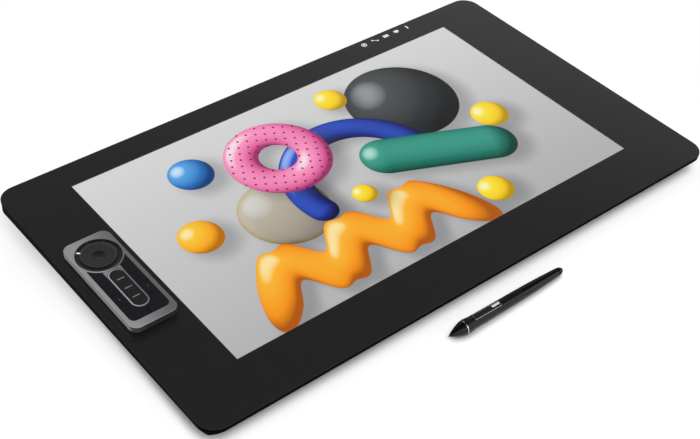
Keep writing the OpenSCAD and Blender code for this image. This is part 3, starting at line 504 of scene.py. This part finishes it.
def boardTracks(tree, tone):
    # copper tracks under the mask: thin lines on a bent grid, and bright pads where two of them meet
    bend = noise(tree, tracks["bend"], 1.0)
    lines = []
    for place, pitch in zip(measured(tree, (0, 0, 0), across, (0, 1, 0)), tracks["pitches"]):
        cell = sums(tree, "MULTIPLY_ADD", bend, tracks["bendBy"], sums(tree, "DIVIDE", place, pitch))
        cell = farFrom(tree, sums(tree, "FRACT", cell), 0.5)
        lines.append(span(tree, cell, *tracks["lineSpan"], 1.0, 0.0))
    tone = blendColour(tree, times(tree, largest(tree, *lines), tracks["lineShare"]), tone, tracks["line"])
    return blendColour(tree, times(tree, *lines), tone, tracks["pad"])


def paleBelow(tree, tone):
    # the slopes and the bottom under the black wall are a little paler
    height, = measured(tree, glassMid, glassUp)
    return blendColour(tree, span(tree, height, *below["span"], below["share"], 0.0), tone, below["tone"])


dress(makeGlass(), "cover_glass")
dress(finish("border print", (0.004, 0.004, 0.0045), 0.6, spread=0.3), "border_print")
dress(finish("display cell", (0.02, 0.02, 0.022), 0.3, spread=0.1), "lcd_panel")
dress(finish("diffuser", (0.85, 0.85, 0.83), 0.6, spread=0.03), "backlight")
dress(finish("moulded black", (0.003, 0.003, 0.0031), 0.6, grain=0.35, relief=0.25, worn=0.1,
             specular=0.008, paint=paleBelow), "rear_cover")
dress(finish("frame black", (0.03, 0.03, 0.032), 0.5), "chassis_frame")
dress(finish("tray aluminium", (0.6, 0.61, 0.63), 0.4, metal=1.0, stretch=(1, 14, 1)), "chassis_tray")
dress(finish("magnet steel", (0.62, 0.62, 0.64), 0.32, metal=1.0), "bezel_magnets")
dress(finish("board green", (0.008, 0.09, 0.04), 0.4, spread=0.3, cloud=4.0, paint=boardTracks),
      "pen_sensor", "io_board", "main_board", "remote_board")
dress(finish("socket metal", (0.55, 0.55, 0.57), 0.28, metal=1.0), "rear_ports", "remote_port")
dress(finish("switch black", (0.03, 0.03, 0.03), 0.45), "edge_switches")
dress(finish("chip black", (0.02, 0.02, 0.022), 0.55), "board_chips")
dress(finish("sink aluminium", (0.66, 0.67, 0.69), 0.35, metal=1.0, stretch=(1, 1, 12)), "heat_sink")
dress(finish("fan black", (0.02, 0.02, 0.021), 0.42), "fan_housings", "left_fan_rotor", "right_fan_rotor")
dress(finish("foot rubber", (0.02, 0.02, 0.02), 0.8, relief=0.4, specular=0.25),
      "rubber_feet", "left_leg_pad", "right_leg_pad", "remote_pads")
dress(finish("screw black", (0.06, 0.06, 0.065), 0.35, metal=1.0), "cover_screws")
dress(finish("insert brass", (0.65, 0.45, 0.16), 0.3, metal=1.0), "stand_inserts")
dress(finish("pin steel", (0.62, 0.62, 0.64), 0.25, metal=1.0), "hinge_pins", "rocker_pin", "key_domes")
dress(finish("leg black", (0.016, 0.016, 0.017), 0.45, grain=0.35, relief=0.25, specular=0.4),
      "left_leg", "right_leg")
dress(finish("button black", (0.03, 0.03, 0.031), 0.4), "power_button", "touch_switch")
dress(finish("key lamp", (0.85, 0.86, 0.88), 0.4), "key_lamps")
soften(0.8, "rear_cover", "left_leg", "right_leg")
print("tablet finished")


# picture on the screen: plain solids in soft light, drawn one over the other

tones = {"dark": ((0.004, 0.005, 0.006), (0.022, 0.025, 0.027), (0.07, 0.078, 0.08), (0.3, 0.32, 0.33)),
         "blue": ((0.006, 0.05, 0.2), (0.02, 0.16, 0.5), (0.1, 0.38, 0.8), (0.6, 0.8, 1.0)),
         "amber": ((0.2, 0.13, 0.04), (0.42, 0.32, 0.14), (0.62, 0.53, 0.33), (0.95, 0.93, 0.85)),
         "navy": ((0.002, 0.004, 0.05), (0.006, 0.02, 0.22), (0.03, 0.09, 0.55), (0.3, 0.45, 0.95)),
         "green": ((0.0, 0.05, 0.035), (0.006, 0.17, 0.12), (0.05, 0.36, 0.27), (0.4, 0.75, 0.65)),
         "pink": ((0.35, 0.03, 0.14), (0.8, 0.13, 0.36), (1.0, 0.32, 0.56), (1.0, 0.75, 0.85)),
         "orange": ((0.45, 0.1, 0.0), (0.95, 0.3, 0.006), (1.0, 0.47, 0.03), (1.0, 0.8, 0.35)),
         "gold": ((0.5, 0.16, 0.0), (0.95, 0.4, 0.01), (1.0, 0.58, 0.04), (1.0, 0.85, 0.4)),
         "yellow": ((0.5, 0.3, 0.0), (0.95, 0.62, 0.01), (1.0, 0.8, 0.04), (1.0, 0.95, 0.5))}
picture = {
    "level": -1.96, "columns": 24, "rows": 14, "edge": 0.5, "light": (-0.42, 0.5, 0.757),
    "stops": (0.0, 0.42, 0.9, 0.995), "backHigh": (0.7, 0.7, 0.7), "backLow": (0.46, 0.46, 0.462),
    "backFall": (0.0002, -1 / 294, 0), "base": (0.004, 0.004, 0.004), "rough": 0.6,
    "shade": (9.0, -11.0), "shadeReach": 16, "shadeInside": 0.6, "shadeShare": 0.38,
    "shadeTone": (0.03, 0.03, 0.05), "dotTurn": 0.5,
    "dotSpan": (0.11, 0.16), "dotShare": 0.9, "dotTone": (0.1, 0.01, 0.06),
    "clearSpan": (0.15, 0.6), "clearRim": 0.95,
    "shapes": (
        {"kind": "ball", "at": (118, 62), "radius": 66, "tone": "dark"},
        {"kind": "ball", "at": (-150, 92), "radius": 25, "tone": "blue"},
        {"kind": "ball", "at": (-104, -12), "radius": 50, "tone": "amber", "clear": 0.45},
        {"kind": "arch", "at": (4, -14), "middle": 78, "radius": 17, "turn": 14, "tone": "navy"},
        {"kind": "bar", "at": (38, -4), "to": (150, -52), "radius": 29, "tone": "green"},
        {"kind": "ring", "at": (-58, 62), "middle": 40, "radius": 19, "dots": 10.5, "tone": "pink"},
        {"kind": "wave", "at": (-172, -92), "long": 212, "swing": 15, "pitch": 84, "radius": 25,
         "tone": "orange"},
        {"kind": "ball", "at": (-196, 6), "radius": 24, "tone": "gold"},
        {"kind": "ball", "at": (52, 110), "radius": 19, "tone": "yellow"},
        {"kind": "ball", "at": (184, -14), "radius": 22, "tone": "yellow"},
        {"kind": "ball", "at": (-20, -38), "radius": 14, "tone": "yellow"},
        {"kind": "ball", "at": (98, -112), "radius": 20, "tone": "yellow"})}


def fromBar(tree, gap, shape):
    run = np.array((*np.subtract(shape["to"], shape["at"]), 0), float)
    share = span(tree, along(tree, gap, run / (run @ run)), 0, 1, smooth=False)
    return vectors(tree, "SUBTRACT", gap, scaled(tree, fixed(tree, run), share))


def fromRing(tree, gap, shape):
    return vectors(tree, "SUBTRACT", gap, scaled(tree, vectors(tree, "NORMALIZE", gap), shape["middle"]))


def fromArch(tree, gap, shape):
    turn = math.radians(shape["turn"])
    run = np.array((math.cos(turn), math.sin(turn), 0))
    rise = np.array((-math.sin(turn), math.cos(turn), 0))
    upper = flat(tree, along(tree, gap, run), largest(tree, along(tree, gap, rise), 0.0))
    upper = vectors(tree, "NORMALIZE", upper)
    parts = [scaled(tree, fixed(tree, shape["middle"] * axis), along(tree, upper, flatAxis))
             for axis, flatAxis in ((run, (1, 0, 0)), (rise, (0, 1, 0)))]
    return vectors(tree, "SUBTRACT", gap, vectors(tree, "ADD", *parts))


def fromWave(tree, gap, shape):
    rate = 2 * math.pi / shape["pitch"]
    x, y = (along(tree, gap, axis) for axis in ((1, 0, 0), (0, 1, 0)))
    held = largest(tree, sums(tree, "MINIMUM", x, shape["long"]), 0.0)
    phase = times(tree, held, rate)
    off = minus(tree, y, times(tree, sums(tree, "SINE", phase), shape["swing"]))
    slope = times(tree, sums(tree, "COSINE", phase), shape["swing"] * rate)
    part = sums(tree, "DIVIDE", off, sums(tree, "MULTIPLY_ADD", slope, slope, 1.0))
    return flat(tree, minus(tree, minus(tree, x, held), times(tree, part, slope)), part)


nearest = {"bar": fromBar, "ring": fromRing, "arch": fromArch, "wave": fromWave}


def shapeOffset(tree, place, shape):
    # offset from the nearest point of a shape's middle line, in radii: its length is 1 on the outline
    gap = vectors(tree, "SUBTRACT", place, (*shape["at"], 0))
    if shape["kind"] in nearest:
        gap = nearest[shape["kind"]](tree, gap, shape)
    return scaled(tree, gap, 1 / shape["radius"])


def drawShape(tree, colour, place, shape):
    blur = picture["edge"] / shape["radius"]
    reach = picture["shadeReach"] / shape["radius"]
    away = np.array((*picture["shade"], 0))
    cast = lengthOf(tree, shapeOffset(tree, vectors(tree, "SUBTRACT", place, away), shape))
    cast = span(tree, cast, 1 - reach * picture["shadeInside"], 1 + reach, picture["shadeShare"], 0.0)
    colour = blendColour(tree, cast, colour, picture["shadeTone"])
    offset = shapeOffset(tree, place, shape)
    facing = largest(tree, minus(tree, 1.0, along(tree, offset, offset)), 0.0)
    facing = sums(tree, "SQRT", facing)
    *sideLight, frontLight = picture["light"]
    lit = sums(tree, "MULTIPLY_ADD", facing, frontLight, along(tree, offset, (*sideLight, 0)))
    tone = ramp(tree, lit, *zip(picture["stops"], tones[shape["tone"]]))
    if "dots" in shape:
        cell = put(tree, "ShaderNodeVectorRotate", {"Vector": place, "Angle": picture["dotTurn"]},
                   rotation_type="Z_AXIS")
        cell = vectors(tree, "FRACTION", scaled(tree, cell, 1 / shape["dots"]))
        cell = vectors(tree, "MULTIPLY", vectors(tree, "SUBTRACT", cell, (0.5, 0.5, 0.5)), (1, 1, 0))
        dots = span(tree, lengthOf(tree, cell), *picture["dotSpan"], picture["dotShare"], 0.0)
        tone = blendColour(tree, dots, tone, picture["dotTone"])
    mask = span(tree, lengthOf(tree, offset), 1 - blur, 1 + blur, 1.0, 0.0)
    if "clear" in shape:
        body = span(tree, facing, *picture["clearSpan"], picture["clearRim"], shape["clear"])
        mask = times(tree, mask, body)
    return blendColour(tree, mask, colour, tone)


def makePicture():
    # grid: x and y run over the lit rectangle, z is constant
    x = np.linspace(-0.5, 0.5, picture["columns"] + 1) * glass["pictureWidth"]
    y = np.linspace(-0.5, 0.5, picture["rows"] + 1) * glass["pictureDepth"] + glass["pictureY"]
    gx, gy = np.meshgrid(x, y, indexing="ij")
    points = onGlass(gx, gy, picture["level"])
    index = np.arange(gx.size).reshape(gx.shape)
    faces = np.stack([index[:-1, :-1], index[1:, :-1], index[1:, 1:], index[:-1, 1:]], -1).reshape(-1, 4)
    material, tree, shader = newMaterial("lit picture")
    place = flat(tree, *measured(tree, onGlass(0, glass["pictureY"], picture["level"]), across, glassRear))
    fall = span(tree, along(tree, place, picture["backFall"]), -0.5, 0.5, smooth=False)
    colour = blendColour(tree, fall, picture["backHigh"], picture["backLow"])
    for shape in picture["shapes"]:
        colour = drawShape(tree, colour, place, shape)
    shader.inputs["Base Color"].default_value = (*picture["base"], 1)
    shader.inputs["Specular IOR Level"].default_value = 0.0
    shader.inputs["Roughness"].default_value = picture["rough"]
    tree.links.new(colour, shader.inputs["Emission Color"])
    shader.inputs["Emission Strength"].default_value = 1.0
    makePiece("screen_picture", (points.reshape(-1, 3), faces.tolist()), material, "tablet",
              smooth=False, closed=False)


makePicture()
print("picture made:", len(picture["shapes"]), "shapes")


# lit symbols of the touch keys: films on the glass

symbols = {"first": 154.3, "pitch": 17.1, "y": 183.5, "low": -0.01, "high": 0.012,
           "hoop": (2.3, 3.5), "disc": 1.5, "bar": (6.4, 0.9, 0.4), "barTurn": -32,
           "knob": 1.3, "knobAt": (2.9, -1.8),
           "cell": (1.9, 1.55, 0.3), "cellColumns": (-3.0, -1.0, 1.0, 3.0), "cellRows": (-1.65, 0.0, 1.65),
           "screen": (6.8, 3.8, 0.7), "screenUp": 0.7, "stand": (3.8, 0.8, 0.35), "standDown": 2.1,
           "arc": (2.6, 4.4), "arcHalf": 55, "arcBack": 3.2,
           "glow": 0.75, "base": (0.2, 0.2, 0.2), "grain": 1.5,
           "glowLow": (0.78, 0.79, 0.8), "glowHigh": (0.9, 0.9, 0.9)}


def plateOf(outline, x, y, turn=0.0):
    # a thin prism on a convex outline
    line = turned(outline, math.radians(turn)) + (x, y)
    sections = [onGlass(line[:, 0], line[:, 1], z) for z in (symbols["low"], symbols["high"])]
    return carried(np.stack(sections), closedPath=False)


def hoop(x, y, inside, outside, first=0.0, last=360.0):
    # a flat ring, or a part of one
    whole = last - first >= 360
    turn = np.radians(np.linspace(first, last, 33)[:-1] if whole else np.linspace(first, last, 20))
    low, high = symbols["low"], symbols["high"]
    profile = ((inside, low), (inside, high), (outside, high), (outside, low))
    sections = [onGlass(x + r * np.cos(turn), y + r * np.sin(turn), z) for r, z in profile]
    return carried(np.stack(sections, 1), closedPath=whole)


def makeSymbols():
    places = [symbols["first"] + k * symbols["pitch"] for k in range(5)]
    y = symbols["y"]
    disc, knob = (roundedPath(2 * r, 2 * r, r * 0.999, 6, 1) for r in (symbols["disc"], symbols["knob"]))
    bar, screen, stand = (roundedPath(*symbols[key], 4, 1) for key in ("bar", "screen", "stand"))
    cell = roundedPath(*symbols["cell"], 3, 1)
    knobX, knobY = symbols["knobAt"]
    parts = [hoop(places[0], y, *symbols["hoop"]), plateOf(disc, places[0], y)]
    parts.append(plateOf(bar, places[1], y, symbols["barTurn"]))
    parts += [plateOf(knob, places[1] + side * knobX, y + side * knobY) for side in (-1, 1)]
    parts += [plateOf(cell, places[2] + i, y + j)
              for i in symbols["cellColumns"] for j in symbols["cellRows"]]
    parts.append(plateOf(screen, places[3], y + symbols["screenUp"]))
    parts.append(plateOf(stand, places[3], y - symbols["standDown"]))
    half = symbols["arcHalf"]
    parts.append(hoop(places[4] - symbols["arcBack"], y, *symbols["arc"], -half, half))
    material, tree, shader = newMaterial("lit symbol")
    glow = blendColour(tree, noise(tree, symbols["grain"]), symbols["glowLow"], symbols["glowHigh"])
    tree.links.new(glow, shader.inputs["Emission Color"])
    shader.inputs["Base Color"].default_value = (*symbols["base"], 1)
    shader.inputs["Emission Strength"].default_value = symbols["glow"]
    makePiece("touch_symbols", joined(*parts), material, "tablet", smooth=False)


makeSymbols()
print("symbols made")


# finishes of the remote

# painted shade on the remote's near end: where it lies and its colours, darker at the right
nearEndShade = {"ySpan": (-63, -57), "lipFrom": 0.8, "lipTo": 0.5, "xSpan": (-22, -8),
           "left": (0.055, 0.055, 0.057), "right": (0.024, 0.024, 0.025)}
# webs: the right colour is painted shade on the frame, and the pale line colours are a painted highlight
webs = {"slantY": 0.1, "slantSpan": (-30, 25), "right": (0.135, 0.135, 0.138), "ringPart": (22.0, 25.0),
        "fade": (1.9, 2.4), "share": 0.85, "tone": (0.02, 0.02, 0.022),
        "beadAt": 0.85, "beadHalf": (0.45, 0.8), "beadSpan": (-8, 10),
        "highlightLeft": (0.42, 0.42, 0.43), "highlightRight": (0.17, 0.17, 0.175)}
disc = {"grooveFrom": -0.3, "grooveTo": 0.6, "groove": (0.004, 0.004, 0.0043),
        "lipAt": -0.2, "lipHalf": (0.15, 0.5), "lipShare": 0.5, "lip": (0.06, 0.06, 0.063)}
ribs = {"from": 0.08, "to": 0.16, "tone": (0.17, 0.175, 0.18)}
ringLamps = {"litSpan": (-9.5, -8.0), "haze": 1.0, "glowLow": (0.9, 0.93, 0.97), "glowHigh": (1, 1, 1),
             "base": (0.03, 0.03, 0.032), "rough": 0.4}


def remotePlace(tree):
    return measured(tree, remoteMid, across, glassRear, glassUp)


def ringDistance(tree, x, y):
    return lengthOf(tree, flat(tree, x, minus(tree, y, remote["ringY"])))


def shadedNearEnd(tree, tone):
    # painted shade: the near end below the top edge, where the socket is, is painted darker than the long
    # sides, most of all at its right, for the shade that face is in
    x, y, z = remotePlace(tree)
    lower = span(tree, z, remote["high"] - nearEndShade["lipFrom"], remote["high"] - nearEndShade["lipTo"], 1.0, 0.0)
    end = times(tree, span(tree, y, *nearEndShade["ySpan"], 1.0, 0.0), lower)
    # the painted shade deepens towards the right
    dark = blendColour(tree, span(tree, x, *nearEndShade["xSpan"]), nearEndShade["left"], nearEndShade["right"])
    return blendColour(tree, end, tone, dark)


def paintedFrameLight(tree, tone):
    # painted light: a pale line along the webs round the ring and the strip, a painted highlight brightest
    # at the left, and painted shade that leaves the frame palest along its left side and darker towards its
    # right
    x, y, _ = remotePlace(tree)
    shadeSlant = sums(tree, "MULTIPLY_ADD", y, webs["slantY"], times(tree, x, -1.0))
    # painted shade: the frame darkens towards its right
    tone = blendColour(tree, span(tree, shadeSlant, *webs["slantSpan"], 1.0, 0.0), tone, webs["right"])
    straight = (remote["stripLength"] - remote["stripWidth"]) / 2
    beyond = largest(tree, minus(tree, farFrom(tree, y, remote["stripY"]), straight), 0.0)
    ringWeb = minus(tree, ringDistance(tree, x, y), remote["ringHole"])
    stripWeb = minus(tree, lengthOf(tree, flat(tree, x, beyond)), remote["stripWidth"] / 2)
    # painted highlight along the webs, brighter at the left
    paintedHighlight = blendColour(tree, span(tree, x, *webs["beadSpan"]), webs["highlightLeft"], webs["highlightRight"])
    for web, share in ((ringWeb, span(tree, y, *webs["ringPart"], 1.0, 0.0)), (stripWeb, 1.0)):
        inside = span(tree, web, *webs["fade"], webs["share"], 0.0)
        line = span(tree, farFrom(tree, web, webs["beadAt"]), *webs["beadHalf"], 1.0, 0.0)
        for mask, laid in ((inside, webs["tone"]), (line, paintedHighlight)):
            tone = blendColour(tree, times(tree, mask, share), tone, laid)
    return shadedNearEnd(tree, tone)


def ringTones(tree, tone):
    # dark groove outside, a paler disc inside it, and a thin pale lip between them
    x, y, _ = remotePlace(tree)
    outward = minus(tree, ringDistance(tree, x, y), remote["discEdge"])
    groove = span(tree, outward, disc["grooveFrom"], disc["grooveTo"])
    tone = blendColour(tree, groove, tone, disc["groove"])
    lip = span(tree, farFrom(tree, outward, disc["lipAt"]), *disc["lipHalf"], disc["lipShare"], 0.0)
    return blendColour(tree, lip, tone, disc["lip"])


def paleRibs(tree, tone):
    # the ribs stand above the key tops, and only they are pale
    _, _, z = remotePlace(tree)
    raised = span(tree, minus(tree, z, remote["keyTop"]), ribs["from"], ribs["to"])
    return blendColour(tree, raised, tone, ribs["tone"])


def makeRingLamps():
    # only the bar at the left is lit
    material, tree, shader = newMaterial("ring lamps")
    x, _, _ = remotePlace(tree)
    glow = blendColour(tree, noise(tree, ringLamps["haze"]), ringLamps["glowLow"], ringLamps["glowHigh"])
    tree.links.new(glow, shader.inputs["Emission Color"])
    tree.links.new(span(tree, x, *ringLamps["litSpan"], 1.0, 0.0), shader.inputs["Emission Strength"])
    shader.inputs["Base Color"].default_value = (*ringLamps["base"], 1)
    shader.inputs["Roughness"].default_value = ringLamps["rough"]
    return material


stripKeys = [f"strip_key_{k}" for k in (1, 2, 3)]
columnKeys = [f"{side}_{key}" for side in ("left", "right")
              for key in ("key_1", "key_2", "key_3", "corner_key")]
# the remote's near wall carries painted shade
dress(finish("remote wall", (0.38, 0.38, 0.385), 0.5, grain=0.2, relief=0.12, spread=0.08, specular=0.3,
             paint=shadedNearEnd), "remote_base")
# the frame carries painted light: a painted highlight on the webs and painted shade towards the right
dress(finish("remote grey", (0.33, 0.33, 0.335), 0.42, metal=0.25, grain=0.2, relief=0.12, spread=0.08,
             paint=paintedFrameLight), "remote_frame")
dress(finish("ring black", (0.019, 0.019, 0.0205), 0.42, paint=ringTones, cloud=6.0, specular=0.4),
      "touch_ring")
dress(finish("ring button", (0.007, 0.007, 0.0074), 0.4, cloud=6.0, specular=0.4), "ring_button")
dress(finish("strip black", (0.008, 0.0083, 0.0095), 0.36, grain=0.3, cloud=8.0, specular=0.4,
             paint=paleRibs), *stripKeys)
dress(finish("key black", (0.0035, 0.0045, 0.0075), 0.45, grain=0.25, relief=0.2, cloud=8.0, specular=0.25),
      *columnKeys)
dress(finish("battery foil", (0.6, 0.6, 0.62), 0.35, metal=0.8, grain=3.0, relief=0.3), "remote_battery")
dress(makeRingLamps(), "ring_lamps")
soften(0.25, *stripKeys, *columnKeys, flatten=True)
print("remote finished")


# tick marks on the third key of each column

ticks = {"x": 15.6, "y": -26.0, "long": 3.2, "wide": 0.45, "corner": 0.2, "high": 0.06}


def makeTicks():
    # a small rounded prism half sunk in each key
    line = roundedPath(ticks["wide"], ticks["long"], ticks["corner"], 4, 1) + (0, ticks["y"])
    material = finish("tick grey", (0.12, 0.125, 0.135), 0.5, cloud=2.0, grain=0.2)
    for side, key in ((-1, "left_key_3"), (1, "right_key_3")):
        sections = [onRemote(line[:, 0] + side * ticks["x"], line[:, 1], remote["keyTop"] + z)
                    for z in (-ticks["high"], ticks["high"])]
        tick = carried(np.stack(sections), closedPath=False)
        makePiece(key + "_tick", tick, material, key, smooth=False)


makeTicks()
print("ticks made")


# finishes of the pen

grip = {"grooves": (23.4, 25.6), "grooveWide": 0.4, "grooveStrength": 0.9, "grooveDeep": 0.35}
rocker = {"from": 32.6, "to": 66.2, "half": 2.5, "slip": 0.3, "proud": 0.35, "corner": 0.8, "rim": 0.24,
          "ridges": (34.5, 54.0), "ridgePitch": 1.6, "ridgeFade": 1,
          "ridgeStrength": 0.8, "ridgeDeep": 0.25,
          "plateFrom": 56.0, "plateTo": 65.8, "plateHalf": 1.3, "plateHigh": 0.09, "plateSink": 0.05,
          "plateSteps": 9}


def gripGrooves(tree):
    place, = measured(tree, penTip, penAxis)
    dips = [span(tree, farFrom(tree, place, at), 0.0, grip["grooveWide"]) for at in grip["grooves"]]
    return bump(tree, sums(tree, "MINIMUM", *dips), grip["grooveStrength"], grip["grooveDeep"])


def rockerRidges(tree):
    place, = measured(tree, penTip, penAxis)
    wave = sums(tree, "SINE", times(tree, place, 2 * math.pi / rocker["ridgePitch"]))
    (first, last), fade = rocker["ridges"], rocker["ridgeFade"]
    inside = times(tree, span(tree, place, first - fade, first + fade),
                   span(tree, place, last - fade, last + fade, 1.0, 0.0))
    return bump(tree, times(tree, wave, inside), rocker["ridgeStrength"], rocker["ridgeDeep"])


dress(finish("grip rubber", (0.003, 0.003, 0.0031), 0.34, grain=0.3, relief=0.15, specular=0.25,
             shape=gripGrooves), "pen_grip")
dress(finish("pen gloss", (0.002, 0.002, 0.0021), 0.18, relief=0.04, roughSpread=0.05, specular=0.25),
      "pen_barrel", "pen_cone", "pen_eraser")
penSilver = finish("pen silver", (0.75, 0.75, 0.77), 0.22, metal=1.0, spread=0.05)
dress(penSilver, "pen_ring")
dress(finish("core brown", (0.12, 0.07, 0.03), 0.5), "pen_core")
dress(finish("nib grey", (0.03, 0.03, 0.03), 0.5), "pen_nib")
dress(finish("rocker black", (0.006, 0.006, 0.0063), 0.3, specular=0.4, shape=rockerRidges), "pen_rocker")
# the rear plate's pale colour is a painted reflection, standing in for the bright sheen of silver
paintedPlateSheen = finish("pen plate painted sheen", (0.86, 0.86, 0.87), 0.3, metal=0.25, spread=0.03)
print("pen finished")


# bright rim round the rocker's slot, and a plate on its rear part painted pale as a painted reflection of
# its silver

def makeRim():
    # a small circle carried round the slot's outline on the grip's surface
    clear = rocker["slip"] + rocker["rim"]
    long, wide = rocker["to"] - rocker["from"] + 2 * clear, 2 * (rocker["half"] + clear)
    line = roundedPath(long, wide, rocker["corner"], 8, 24)
    place, side = line[:, 0] + (rocker["from"] + rocker["to"]) / 2, line[:, 1]
    height = np.sqrt(penRadius(place) ** 2 - side ** 2)
    centre = onPen(place, side, height)
    out = centre - onPen(place, 0, 0)
    out /= np.linalg.norm(out, axis=1, keepdims=True)
    ahead = np.roll(centre, -1, 0) - np.roll(centre, 1, 0)
    ahead /= np.linalg.norm(ahead, axis=1, keepdims=True)
    beside = np.cross(ahead, out)
    turn = np.linspace(0, 2 * np.pi, 9)[:-1, None]
    circle = np.cos(turn) * out[:, None] + np.sin(turn) * beside[:, None]
    rim = carried(centre[:, None] + rocker["rim"] * mm * circle)
    makePiece("rocker_rim", rim, penSilver, "pen")


def makePlate():
    # grid on the rocker's curved top, with a second sheet under it and walls between
    steps = rocker["plateSteps"]
    place = np.linspace(rocker["plateFrom"], rocker["plateTo"], steps)[:, None]
    side = np.linspace(-1, 1, steps) * rocker["plateHalf"]
    profile = np.concatenate([side, side[::-1]])
    lift = np.repeat((rocker["plateHigh"], -rocker["plateSink"]), steps)
    radius = penRadius(place) + rocker["proud"] + lift
    sections = onPen(place, profile, np.sqrt(radius ** 2 - profile ** 2))
    makePiece("rocker_plate", carried(sections, closedPath=False), paintedPlateSheen, "pen_rocker",
              smooth=False)


makeRim()
makePlate()
print("rocker trimmed")
